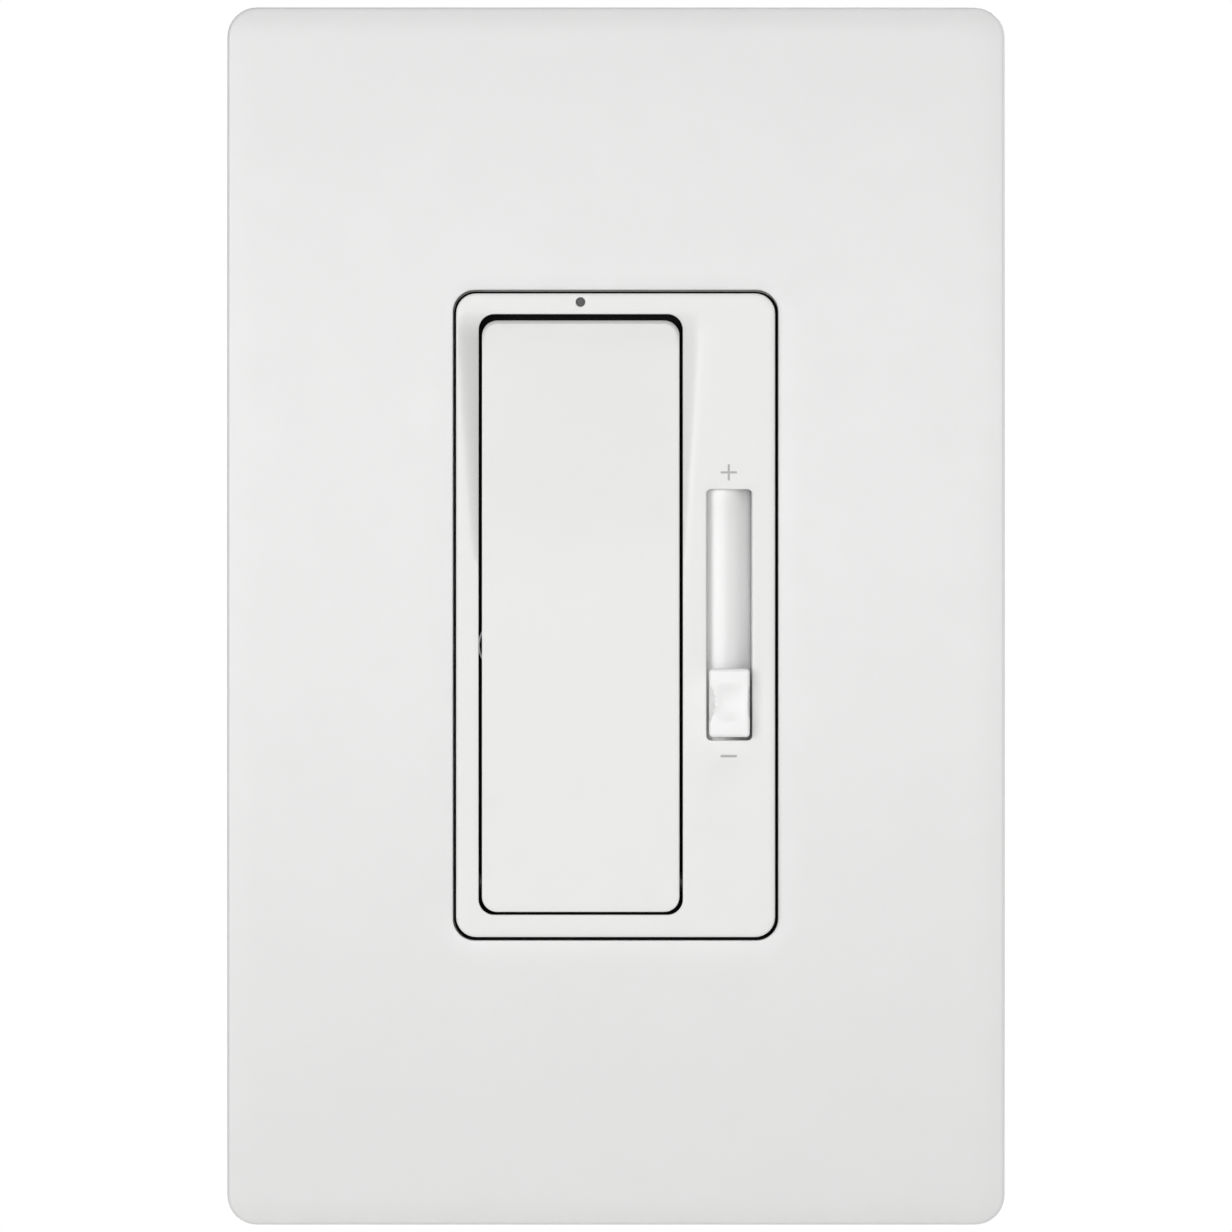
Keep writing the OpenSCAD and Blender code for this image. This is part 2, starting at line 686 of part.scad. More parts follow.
// Large film capacitor and the small ones
module filter_capacitor() color("#a83a2c") {
    upright(17.5, 8, 1, board_y + board_t + 0.4, 22.6, 0, 26);
    for (k = [-1, 1]) bar_y(0.4, board_y + board_t, board_y + board_t + 0.5, 7.5 * k, 26);
}

module timing_capacitors() color("#a83a2c")
    for (x = [-9, 3]) upright(7.6, 3.6, 0.8, board_y + board_t, 16, x, 16.5);

// Trigger diode
module diac() color("#3558a8")
    bar_x(1, -11, -6.4, board_y + board_t + 1, 9.5);

// Small resistors in a row
module resistors() color("#c6a77a")
    for (i = [0:3]) {
        bar_x(1.1, -4.8, 1.4, board_y + board_t + 1.1, 12 - 3 * i);
        bar_x(0.3, -6.4, 3, board_y + board_t + 1.1, 12 - 3 * i);
    }

// Thermal fuse
module fuse() color("#d8d4c8") {
    bar_z(2, 2, 11, 9.5, board_y + board_t + 2);
    bar_z(0.5, 0, 13, 9.5, board_y + board_t + 2);
}

// Trimmer for the lowest light level: body on the board
module trim_case() color("#2f55a4") difference() {
    block(14.5, 20.1, 2.2, board_y, trim_z - 2.8, trim_z + 2.8);
    bar_y(1.2 + running_gap, 1, 4.2, trim_x, trim_z);
}

// Trimmer: rotor with a screwdriver slot, reached from the front of the strap
module trim_rotor() color("#efefe8") difference() {
    union() {
        bar_y(1.9, -1.2, 2, trim_x, trim_z);
        bar_y(1.2, 1.9, 4, trim_x, trim_z);
    }
    block(trim_x - 2.2, trim_x + 2.2, -2, -0.4, trim_z - 0.3, trim_z + 0.3);
}

// Brass plates at the floor of each terminal pocket, with a tail inwards
module terminal_clamps() color("#c9a24a")
    for (t = terminals) difference() {
        union() {
            block(t[0] < 0 ? -pocket_x - 1 : pocket_x, t[0] < 0 ? -pocket_x : pocket_x + 1,
                terminal_y - 5, terminal_y + 5, t[1] - 4.6, t[1] + 4.6);
            block(t[0] < 0 ? -pocket_x - 0.5 : 13.4, t[0] < 0 ? -13.4 : pocket_x + 0.5,
                terminal_y - 1.8, terminal_y + 1.8, t[1] - 1.8, t[1] + 1.8);
        }
        bar_x(thread_r, t[0] < 0 ? -20 : 12, t[0] < 0 ? -12 : 20, terminal_y, t[1]);
    }

// Plates under the screw heads that clamp the wires
module pressure_plates() color("#c9a24a")
    for (t = terminals) difference() {
        block(t[0] < 0 ? -22 : 21.1, t[0] < 0 ? -21.1 : 22,
            terminal_y - 4.2, terminal_y + 4.2, t[1] - 4.4, t[1] + 4.4);
        bar_x(thread_r + 0.2, t[0] < 0 ? -30 : 12, t[0] < 0 ? -12 : 30, terminal_y, t[1]);
    }

// Round-head terminal screws
module terminal_screws() color("#c9a24a")
    for (t = terminals) difference() {
        union() {
            bar_x(thread_r, t[0] < 0 ? -22.5 : 14, t[0] < 0 ? -14 : 22.5, terminal_y, t[1]);
            bar_x(3.6, t[0] < 0 ? -24 : 22, t[0] < 0 ? -22 : 24, terminal_y, t[1]);
        }
        translate([t[0] * 24, terminal_y, t[1]]) cube([2, 8, 1], center = true);
        translate([t[0] * 24, terminal_y, t[1]]) cube([2, 1, 5], center = true);
    }

// Green earth screw in the strap's tab
module ground_screw() color("#2f8a4a") difference() {
    union() {
        translate([ground_x, ground_y, tab_z - 3.2]) cylinder(h = 2.4, r = 3.6, $fn = 6);
        bar_z(thread_r, tab_z - 1, tab_z + 3, ground_x, ground_y);
    }
    translate([ground_x, ground_y, tab_z - 3.2]) cube([8, 1, 1.6], center = true);
}

module ground_washer() color("#c9a24a") difference() {
    bar_z(3.9, tab_z - 0.8, tab_z, ground_x, ground_y);
    bar_z(thread_r, tab_z - 2, tab_z + 2, ground_x, ground_y);
}

cover_plate();
sub_plate();
plate_screws();
box_screws();
screw_retainers();
bezel();
paddle();
paddle_pin();
slide_knob();
slide_shutter();
light_pipe();
mounting_strap();
rear_housing();
housing_screws();
circuit_board();
led_lamp();
switch_base();
switch_cover();
switch_plunger();
plunger_spring();
contact_arm();
fixed_contacts();
slider_case();
slider_track();
slider_carriage();
wiper_contacts();
slider_pins();
triac();
triac_pad();
triac_screw();
choke_core();
choke_winding();
filter_capacitor();
timing_capacitors();
diac();
resistors();
fuse();
trim_case();
trim_rotor();
terminal_clamps();
pressure_plates();
terminal_screws();
ground_screw();
ground_washer();
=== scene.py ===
"""Looks for a one-gang paddle dimmer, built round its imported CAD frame."""

import math

import bmesh
import bpy
from bpy.props import FloatProperty, PointerProperty, StringProperty
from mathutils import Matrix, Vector
from mathutils.geometry import delaunay_2d_cdt


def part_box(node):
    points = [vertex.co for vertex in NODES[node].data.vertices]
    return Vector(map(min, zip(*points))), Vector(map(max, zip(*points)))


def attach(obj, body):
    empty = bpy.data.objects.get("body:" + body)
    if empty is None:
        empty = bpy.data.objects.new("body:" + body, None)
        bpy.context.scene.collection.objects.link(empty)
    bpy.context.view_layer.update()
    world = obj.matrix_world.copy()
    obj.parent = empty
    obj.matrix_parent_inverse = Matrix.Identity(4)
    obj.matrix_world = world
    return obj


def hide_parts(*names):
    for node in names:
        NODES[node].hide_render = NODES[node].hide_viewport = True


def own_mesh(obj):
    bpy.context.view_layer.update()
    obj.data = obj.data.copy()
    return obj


bl_info = {
    "name": "Paddle dimmer",
    "version": (1, 0, 0),
    "blender": (4, 5, 0),
    "location": "3D View > Sidebar > Dimmer",
    "description": "Moulded front, metalwork, inner parts and studio for a wall dimmer",
    "category": "Add Mesh",
}

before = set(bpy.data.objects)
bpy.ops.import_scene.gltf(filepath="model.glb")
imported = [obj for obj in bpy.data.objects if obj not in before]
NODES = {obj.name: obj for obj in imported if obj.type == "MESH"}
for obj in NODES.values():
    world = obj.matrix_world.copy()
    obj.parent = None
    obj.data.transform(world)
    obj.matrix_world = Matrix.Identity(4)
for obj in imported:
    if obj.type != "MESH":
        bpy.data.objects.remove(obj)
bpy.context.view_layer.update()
MM = 0.001
SHARP_ANGLE = math.radians(32)
SCREW_SHARP = math.radians(40)
THREAD_PITCH = 25.4 * MM / 32
THREAD_R = 1.75 * MM


# --- places taken from the frame

def middle(node, axis):
    low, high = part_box(node)
    return (low[axis] + high[axis]) / 2


def span(node, axis):
    low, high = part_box(node)
    return high[axis] - low[axis]


PLATE_LOW, PLATE_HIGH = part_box("cover_plate")
PADDLE_LOW, PADDLE_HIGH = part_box("paddle")
KNOB_LOW, KNOB_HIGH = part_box("slide_knob")
FACE_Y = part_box("bezel")[0].y
PADDLE_X = middle("paddle", 0)
PADDLE_TOP = PADDLE_HIGH.z
PADDLE_W, PADDLE_H = 20.26 * MM, 60.7 * MM
SLOT_X = middle("slide_knob", 0)
KNOB_Z = middle("slide_knob", 2)
KNOB_W = span("slide_knob", 0)
KNOB_H = span("slide_knob", 2)
PIPE_X = middle("light_pipe", 0)
PIPE_Z = 32.2 * MM
SLOT_Z = 0.12 * MM
BEND_Z = 4 * MM
BEND_HALF = 6 * MM
HINGE_Y = middle("paddle_pin", 1)
HINGE_Z = middle("paddle_pin", 2)
STRAP_Y = -1.5 * MM


# --- settings shown in the sidebar

def length(label, what, default_mm):
    return FloatProperty(name=label, description=what, default=default_mm * MM, min=0.0,
                         subtype="DISTANCE", unit="LENGTH", precision=5)


def colour(label, what, default):
    return StringProperty(name=label, description=what + ", as an sRGB hex value", default=default)


class DimmerSizes(bpy.types.PropertyGroup):
    crown: length("Plate crown", "How much the plate's ends fall behind its middle", 1.2)
    plate_edge: length("Plate edge radius", "Rounding of the plate's outer edge", 0.35)
    opening_edge: length("Opening edge radius", "Rounding of the plate's opening", 0.12)
    plate_wall: length("Plate wall", "Thickness of the plate moulding", 1.8)
    bezel_edge: length("Bezel edge radius", "Rounding of the bezel's outer edge", 0.22)
    bezel_wall: length("Bezel wall", "Thickness of the bezel moulding", 1.4)
    window_edge: length("Window edge radius", "Rounding of the paddle window", 0.08)
    slot_edge: length("Slot edge radius", "Rounding of the slide slot", 0.1)
    sink: length("Paddle sink", "Depth of the paddle's top edge below the bezel", 1.6)
    scoop_w: length("Scoop width", "Width of the right-hand scoop at its top", 2.85)
    paddle_edge: length("Paddle edge radius", "Rounding of the paddle's edges", 0.12)
    paddle_bevel: length("Paddle top bevel", "Width of the bevel along the paddle's top edge",
                         0.36)
    mark_depth: length("Mark depth", "Depth of the plus and minus marks", 0.12)
    knob_waist: length("Knob waist", "How far the grip pulls in at its middle", 0.62)
    shutter_lean: length("Shutter lean", "How far left of the slot's middle the strip's crest lies",
                         0.85)
    knob_dish: length("Knob dish", "Depth of the hollow across the grip", 0.3)


class DimmerColours(bpy.types.PropertyGroup):
    plate: colour("Plate", "Outer wall plate", "#ECECEC")
    device: colour("Device", "Bezel, paddle and slide", "#F3F3F2")
    # Painted light: the knob and the shutter take this lighter white to stand in for the extra
    # light on them.
    knob: colour("Knob", "Slide knob", "#FDFDFD")
    # Painted shade: the mark floors take this darker grey to stand in for the shade in their
    # shallow recesses.
    mark: colour("Marks", "Floors of the plus and minus marks", "#C4C4C4")
    housing: colour("Housing", "Rear housing", "#24272B")
    floor: colour("Floor", "Studio floor", "#F0F0EE")


def sizes():
    return bpy.context.scene.dimmer_sizes


def colours():
    return bpy.context.scene.dimmer_colours


# --- outlines and mesh tools

class Outline:
    """Rounded rectangle in the X-Z plane, with matching loops at any inset."""

    def __init__(self, w, h, r, x=0.0, z=0.0, step=1.6 * MM, corner=8):
        self.w, self.h, self.r, self.x, self.z = w, h, r, x, z
        self.corner = corner
        self.nx = max(0, round((w - 2 * r) / step))
        self.nz = max(0, round((h - 2 * r) / step))

    def loop(self, inset=0.0):
        r = max(self.r - inset, 0.03 * MM)
        cx, cz = self.w / 2 - inset - r, self.h / 2 - inset - r
        points = []
        for k, (sx, sz) in enumerate(((1, 1), (-1, 1), (-1, -1), (1, -1))):
            for i in range(self.corner + 1):
                a = math.pi / 2 * (k + i / self.corner)
                points.append((sx * cx + r * math.cos(a), sz * cz + r * math.sin(a)))
            along = self.nx if k % 2 == 0 else self.nz
            end = (-sx * cx, sz * cz + sz * r) if k % 2 == 0 else (sx * cx + sx * r, -sz * cz)
            last = points[-1]
            for i in range(1, along):
                t = i / along
                points.append((last[0] + (end[0] - last[0]) * t, last[1] + (end[1] - last[1]) * t))
        return [(self.x + px, self.z + pz) for px, pz in points]

    def distance(self, x, z):
        """Signed distance to the outline, negative inside."""
        qx = abs(x - self.x) - (self.w / 2 - self.r)
        qz = abs(z - self.z) - (self.h / 2 - self.r)
        outside = math.hypot(max(qx, 0.0), max(qz, 0.0))
        return outside + min(max(qx, qz), 0.0) - self.r


class Cross:
    """Plus-shaped outline of two equal bars."""

    def __init__(self, size, bar, x, z):
        self.size, self.bar, self.x, self.z = size, bar, x, z

    def loop(self, inset=0.0):
        a, b = self.size / 2 - inset, self.bar / 2 - inset
        points = []
        for k in range(4):
            c, s = round(math.cos(k * math.pi / 2)), round(math.sin(k * math.pi / 2))
            for px, pz in ((a, -b), (a, b), (b, b)):
                points.append((self.x + c * px - s * pz, self.z + s * px + c * pz))
        return points

    def distance(self, x, z):
        dx, dz = abs(x - self.x), abs(z - self.z)
        a, b = self.size / 2, self.bar / 2
        return min(max(dx - a, dz - b), max(dx - b, dz - a))


class Ring:
    """Circle in the X-Z plane."""

    def __init__(self, r, x, z, count=24):
        self.r, self.x, self.z, self.count = r, x, z, count

    def loop(self, inset=0.0):
        turns = [2 * math.pi * i / self.count for i in range(self.count)]
        r = self.r - inset
        return [(self.x + r * math.cos(a), self.z + r * math.sin(a)) for a in turns]

    def distance(self, x, z):
        return math.hypot(x - self.x, z - self.z) - self.r


def rounding(gap, radius):
    """How far a rounded edge of that radius drops at a distance from the edge."""
    if gap >= radius:
        return 0.0
    t = radius - max(gap, 0.0)
    return radius - math.sqrt(max(radius * radius - t * t, 0.0))


def edge_steps(radius, count=6):
    if radius <= 0:
        return [0.0]
    return [radius * (1 - math.cos(math.pi / 2 * i / count)) for i in range(count + 1)]


def patch(bm, edges, depth, spacing, outer_steps=None):
    """Fills the region inside the first outline and outside the others.

    edges is a list of (outline, radius); depth(x, z) gives Y before the edges are rounded, and
    outer_steps the insets of the loops inside the first outline where they aren't the usual
    ones. Returns the ring of vertices on each outline."""
    outer = edges[0][0]
    points, segments, rings = [], [], []
    for n, (line, radius) in enumerate(edges):
        sign = 1 if n == 0 else -1
        steps = outer_steps if n == 0 and outer_steps else edge_steps(radius)
        for k, inset in enumerate(steps):
            first = len(points)
            loop = line.loop(sign * inset)
            points.extend(loop)
            count = len(loop)
            segments.extend((first + i, first + (i + 1) % count) for i in range(count))
            if k == 0:
                rings.append(range(first, first + count))
    margin = spacing * 0.45
    clear = outer_steps[-1] if outer_steps else edges[0][1]
    nx, nz = int(outer.w / spacing), int(outer.h / spacing)
    for i in range(1, nx):
        for j in range(1, nz):
            x = outer.x - outer.w / 2 + outer.w * (i + 0.5 * (j % 2)) / nx
            z = outer.z - outer.h / 2 + outer.h * j / nz
            if outer.distance(x, z) > -(clear + margin):
                continue
            if all(line.distance(x, z) > radius + margin for line, radius in edges[1:]):
                points.append((x, z))
    flat = [Vector(p) for p in points]
    verts, _, faces, origins, _, _ = delaunay_2d_cdt(flat, segments, [], 0, 1e-9)
    made = []
    for v in verts:
        x, z = v
        y = depth(x, z) + rounding(-outer.distance(x, z), edges[0][1])
        for line, radius in edges[1:]:
            y += rounding(line.distance(x, z), radius)
        made.append(bm.verts.new((x, y, z)))
    for f in faces:
        x = sum(verts[i][0] for i in f) / 3
        z = sum(verts[i][1] for i in f) / 3
        if outer.distance(x, z) < 0 and all(line.distance(x, z) > 0 for line, _ in edges[1:]):
            bm.faces.new([made[i] for i in f])
    place = {o: made[i] for i, group in enumerate(origins) for o in group}
    return [[place[i] for i in ring] for ring in rings]


def bridge(bm, ring_a, ring_b):
    count = len(ring_a)
    for i in range(count):
        j = (i + 1) % count
        bm.faces.new((ring_a[i], ring_a[j], ring_b[j], ring_b[i]))


def skin(bm, *rings):
    """Walls between each ring and the next."""
    for one, two in zip(rings, rings[1:]):
        bridge(bm, one, two)


def capped(bm, rings):
    """Skins a row of rings and closes both ends."""
    skin(bm, *rings)
    bm.faces.new(rings[0])
    bm.faces.new(rings[-1])


def ring_at(bm, loop, y):
    return [bm.verts.new((x, y, z)) for x, z in loop]


def to_object(bm, name, sharp=SHARP_ANGLE):
    loose = [v for v in bm.verts if not v.link_faces]
    bmesh.ops.delete(bm, geom=loose, context="VERTS")
    bmesh.ops.recalc_face_normals(bm, faces=bm.faces)
    mesh = bpy.data.meshes.new(name)
    bm.to_mesh(mesh)
    bm.free()
    mesh.shade_smooth()
    mesh.set_sharp_from_angle(angle=sharp)
    made = bpy.data.objects.new(name, mesh)
    bpy.context.scene.collection.objects.link(made)
    return made


def moulded_shell(name, outer, outer_edge, holes, depth, wall, rim_y, spacing, floors=()):
    """Hollow moulding: rounded face, side walls down to rim_y, and the inside a wall behind.

    holes is a list of (outline, edge radius) that go through; floors a list of
    (outline, depth) for shallow marks, whose floors take the second material."""
    bm = bmesh.new()
    edges = [(outer, outer_edge), *holes, *[(line, 0.0) for line, _ in floors]]
    front = patch(bm, edges, depth, spacing)
    inner = Outline(outer.w - 2 * wall, outer.h - 2 * wall, max(outer.r - wall, 0.3 * MM),
                    outer.x, outer.z)
    inner.nx, inner.nz, inner.corner = outer.nx, outer.nz, outer.corner
    back_edges = [(inner, 0.0), *[(line, 0.0) for line, _ in holes]]
    back = patch(bm, back_edges, lambda x, z: depth(x, z) + wall, spacing * 2)
    rim_outer = ring_at(bm, outer.loop(), rim_y)
    rim_inner = ring_at(bm, inner.loop(), rim_y)
    skin(bm, front[0], rim_outer, rim_inner, back[0])
    for n in range(len(holes)):
        bridge(bm, front[1 + n], back[1 + n])
    for n, (line, drop) in enumerate(floors):
        ring = front[1 + len(holes) + n]
        low = [bm.verts.new((v.co.x, v.co.y + drop, v.co.z)) for v in ring]
        bridge(bm, ring, low)
        floor = bm.faces.new(low)
        floor.material_index = 1
    return to_object(bm, name)


def solid_panel(name, outer, edge, depth, back_y, spacing):
    """Solid moulding with a shaped front, straight sides and a flat back."""
    bm = bmesh.new()
    front = patch(bm, [(outer, edge)], depth, spacing)[0]
    back = ring_at(bm, outer.loop(), back_y)
    bridge(bm, front, back)
    bm.faces.new(back)
    return to_object(bm, name)


def join(name, parts):
    """Joins meshes into the first one, under one name."""
    bm = bmesh.new()
    for part in parts:
        bm.from_mesh(part.data)
    for part in parts:
        bpy.data.objects.remove(part)
    return to_object(bm, name)


def block(name, low, high):
    bm = bmesh.new()
    bmesh.ops.create_cube(bm, size=1)
    low, high = Vector(low), Vector(high)
    for v in bm.verts:
        v.co = Vector(((low[i] + high[i]) / 2 + v.co[i] * (high[i] - low[i])) for i in range(3))
    return to_object(bm, name)


def prism(name, outline, low_z, high_z):
    """Upright bar whose cross-section is an outline in X and Y."""
    bm = bmesh.new()
    rings = [[bm.verts.new((x, y, z)) for x, y in outline] for z in (low_z, high_z)]
    capped(bm, rings)
    return to_object(bm, name)


def rod(name, axis, radius, start, end, centre, bore=0.0, chamfer=0.1 * MM, around=36):
    """Round bar or tube along axis 0, 1 or 2, with chamfered ends."""
    inner = max(bore, radius * 0.02)
    outline = [(start, inner), (start, radius - chamfer), (start + chamfer, radius),
               (end - chamfer, radius), (end, radius - chamfer), (end, inner)]
    bm = bmesh.new()
    rings = []
    for along, r in outline:
        ring = []
        for i in range(around):
            a = 2 * math.pi * i / around
            place = list(centre)
            place[axis] = along
            place[(axis + 1) % 3] += r * math.cos(a)
            place[(axis + 2) % 3] += r * math.sin(a)
            ring.append(bm.verts.new(place))
        rings.append(ring)
    if bore:
        skin(bm, *rings, rings[0])
    else:
        capped(bm, rings)
    return to_object(bm, name)


# --- materials

def linear(hex_colour):
    """sRGB hex value to linear RGBA."""
    parts = [int(hex_colour[i:i + 2], 16) / 255 for i in (1, 3, 5)]
    return tuple(c / 12.92 if c <= 0.04045 else ((c + 0.055) / 1.055) ** 2.4
                 for c in parts) + (1.0,)


def add(tree, kind, inputs=None, **settings):
    """Adds a shader node; inputs maps socket names or numbers to values or output sockets."""
    made = tree.nodes.new(kind)
    for key, value in settings.items():
        setattr(made, key, value)
    for key, value in (inputs or {}).items():
        socket = made.inputs[key]
        if isinstance(value, bpy.types.NodeSocket):
            tree.links.new(value, socket)
        else:
            socket.default_value = value
    return made


def new_surface(name, base, roughness, **sockets):
    """Material with one Principled shader; base is a hex colour."""
    made = bpy.data.materials.new(name)
    made.use_nodes = True
    made.diffuse_color = linear(base)
    tree = made.node_tree
    shader = tree.nodes["Principled BSDF"]
    shader.inputs["Base Color"].default_value = linear(base)
    shader.inputs["Roughness"].default_value = roughness
    for key, value in sockets.items():
        shader.inputs[key.replace("_", " ")].default_value = value
    where = add(tree, "ShaderNodeTexCoord").outputs["Object"]
    return made, tree, shader, where


def stretched(tree, where, scale):
    return add(tree, "ShaderNodeMapping", {"Vector": where, "Scale": scale}).outputs[0]


def grain(tree, where, size, detail=2.0, rough=0.5):
    """Noise whose features are about size across, in metres."""
    return add(tree, "ShaderNodeTexNoise",
               {"Vector": where, "Scale": 1 / size, "Detail": detail, "Roughness": rough}
               ).outputs["Fac"]


def vary_colour(tree, shader, factor, low, high):
    ramp = add(tree, "ShaderNodeMix", {"Factor": factor, "A": linear(low), "B": linear(high)},
               data_type="RGBA")
    tree.links.new(ramp.outputs["Result"], shader.inputs["Base Color"])


def vary_roughness(tree, shader, factor, low, high):
    spread = add(tree, "ShaderNodeMapRange", {"Value": factor, "To Min": low, "To Max": high})
    tree.links.new(spread.outputs["Result"], shader.inputs["Roughness"])


def relief(tree, shader, height, distance, strength=1.0):
    bump = add(tree, "ShaderNodeBump", {"Height": height, "Distance": distance,
                                        "Strength": strength})
    tree.links.new(bump.outputs["Normal"], shader.inputs["Normal"])


def shade(hex_colour, factor):
    """The same colour, lighter or darker, as a hex value."""
    parts = [min(255, max(0, round(int(hex_colour[i:i + 2], 16) * factor))) for i in (1, 3, 5)]
    return "#" + "".join(f"{p:02X}" for p in parts)


def moulded(name, base, roughness, ior, grain_mm, depth_mm, mottle=0.99):
    """Injection-moulded plastic: the tool's surface shows as a fine even grain."""
    made, tree, shader, where = new_surface(name, base, roughness, IOR=ior)
    vary_colour(tree, shader, grain(tree, where, 9 * MM), shade(base, mottle), base)
    vary_roughness(tree, shader, grain(tree, where, 4 * MM), roughness * 0.92, roughness * 1.08)
    relief(tree, shader, grain(tree, where, grain_mm * MM, 3), depth_mm * MM)
    return made


def worked_metal(name, base, roughness, line_mm, stretch, depth_mm):
    """Metal whose drawing, rolling or turning marks run one way."""
    made, tree, shader, where = new_surface(name, base, roughness, Metallic=1.0)
    lines = grain(tree, stretched(tree, where, stretch), line_mm * MM, 4, 0.6)
    vary_colour(tree, shader, grain(tree, where, 3 * MM), shade(base, 0.93), base)
    vary_roughness(tree, shader, lines, roughness * 0.8, roughness * 1.25)
    relief(tree, shader, lines, depth_mm * MM)
    return made


def polycarbonate_plate():
    """Polycarbonate from a fine-etched tool: an even satin white with a faint orange peel."""
    return moulded("moulded_polycarbonate_plate", colours().plate, 0.3, 1.585, 0.5, 0.004)


def asa_device():
    """ASA from a polished tool: a slightly glossier white than the plate."""
    return moulded("moulded_asa_device", colours().device, 0.33, 1.52, 0.7, 0.003)


def lit_asa_copy():
    """The same ASA in a lighter white, painted light: the brighter colour stands in for extra light
    on the knob and the shutter, and the grip is a little glossier from the tool's polish.
    """
    return moulded("painted_light_asa_white", colours().knob, 0.3, 1.52, 0.7, 0.002)


def mark_recess_shade():
    """Rough floor of a moulded mark, painted a darker grey as shade: the colour stands in for the
    shade in the shallow recess.
    """
    return moulded("mark_recess_painted_shade", colours().mark, 0.6, 1.52, 0.1, 0.01)


def gap_shade_sheet_finish():
    """Black film that paints the shade in the gaps: flat and dull, with faint handling creases."""
    made, tree, shader, where = new_surface("black_gap_shade_sheet", "#0E0E0F", 0.7, IOR=1.6,
                                            Specular_IOR_Level=0.2)
    creases = grain(tree, stretched(tree, where, (1, 1, 0.4)), 6 * MM, 4, 0.6)
    vary_colour(tree, shader, creases, "#0A0A0B", "#141415")
    relief(tree, shader, creases, 0.03 * MM)
    return made


def pbt_housing():
    """Glass-filled PBT from a spark-eroded tool: matt black with a coarse sparkle-free grain."""
    base = colours().housing
    made, tree, shader, where = new_surface("spark_eroded_pbt", base, 0.55, IOR=1.54)
    fibres = grain(tree, stretched(tree, where, (1, 1, 3)), 0.6 * MM, 5, 0.7)
    vary_colour(tree, shader, fibres, shade(base, 0.85), shade(base, 1.25))
    vary_roughness(tree, shader, grain(tree, where, 5 * MM), 0.48, 0.62)
    pits = add(tree, "ShaderNodeTexVoronoi", {"Vector": where, "Scale": 1 / (0.35 * MM)})
    relief(tree, shader, pits.outputs["Distance"], 0.02 * MM, 0.6)
    return made


def zinc_plated_steel():
    """Bright zinc over steel: cool silver, slightly cloudy where the plating bath varied."""
    made, tree, shader, where = new_surface("zinc_plated_steel", "#CFD1D0", 0.27, Metallic=1.0)
    clouds = grain(tree, where, 1.6 * MM, 4, 0.6)
    vary_colour(tree, shader, clouds, "#BFC2C4", "#DADAD4")
    vary_roughness(tree, shader, clouds, 0.2, 0.36)
    relief(tree, shader, grain(tree, where, 0.25 * MM, 3), 0.003 * MM)
    return made


def black_oxide_and_gap_shade_steel():
    """Black oxide on steel: dark, with an oily sheen; the dark colour is also painted shade, so the
    screw head keeps the gap as dark as its shadow.
    """
    return worked_metal("black_oxide_and_gap_shade_steel", "#161719", 0.5, 0.3, (1, 4, 1), 0.004)


def enamelled_copper():
    """Copper wire under clear enamel: the metal's colour with a glassy skin on top."""
    made, tree, shader, where = new_surface("enamelled_copper_wire", "#B5673B", 0.25,
                                            Metallic=1.0, Coat_Weight=1.0, Coat_Roughness=0.06,
                                            Coat_IOR=1.6)
    vary_colour(tree, shader, grain(tree, where, 1.5 * MM, 3), "#A0542C", "#C67A48")
    vary_roughness(tree, shader, grain(tree, where, 0.8 * MM), 0.2, 0.32)
    return made


def vulcanised_fibre():
    """Red vulcanised fibre: matt, with a short papery fibre showing in the surface."""
    made, tree, shader, where = new_surface("vulcanised_fibre", "#93442F", 0.7, IOR=1.47)
    fibres = grain(tree, stretched(tree, where, (4, 4, 1)), 0.5 * MM, 6, 0.7)
    vary_colour(tree, shader, fibres, "#7C3423", "#A7553B")
    relief(tree, shader, fibres, 0.02 * MM)
    return made


def acrylic_pipe():
    """Smoked acrylic light pipe: clear and dark with a polished end."""
    made, tree, shader, where = new_surface("polished_acrylic_pipe", "#121416", 0.2,
                                            Transmission_Weight=0.2, IOR=1.49,
                                            Specular_IOR_Level=0.25)
    vary_colour(tree, shader, grain(tree, where, 0.7 * MM), "#0D0F10", "#181A1C")
    relief(tree, shader, grain(tree, where, 0.4 * MM), 0.002 * MM)
    return made


def epoxy_lens():
    """Diffused lamp epoxy: milky white that lets some light through."""
    made, tree, shader, where = new_surface("diffused_epoxy_lens", "#EEF0EA", 0.22,
                                            Transmission_Weight=0.35, IOR=1.55)
    vary_colour(tree, shader, grain(tree, where, 0.8 * MM, 4), "#DDE0D8", "#F6F7F2")
    return made


def solder_resist():
    """Green resist over woven glass: glossy, with the weave just showing under it."""
    made, tree, shader, where = new_surface("solder_resist_board", "#1F6B3C", 0.3, IOR=1.55,
                                            Coat_Weight=0.6, Coat_Roughness=0.1)
    warp, weft = [add(tree, "ShaderNodeTexWave",
                      {"Vector": where, "Scale": 0.32 / (0.5 * MM) / 6.28, "Distortion": 0.4},
                      bands_direction=way) for way in "XZ"]
    both = add(tree, "ShaderNodeMath", {0: warp.outputs["Fac"], 1: weft.outputs["Fac"]},
               operation="MULTIPLY")
    vary_colour(tree, shader, both.outputs[0], "#185A31", "#2A7D49")
    relief(tree, shader, both.outputs[0], 0.01 * MM)
    return made


def paper_phenolic():
    """Brown paper phenolic: dark and even, with a pressed paper fibre."""
    made, tree, shader, where = new_surface("paper_phenolic", "#6A4526", 0.4, IOR=1.6)
    fibres = grain(tree, stretched(tree, where, (1, 1, 0.3)), 0.4 * MM, 5, 0.6)
    vary_colour(tree, shader, fibres, "#573619", "#7A5230")
    relief(tree, shader, fibres, 0.006 * MM)
    return made


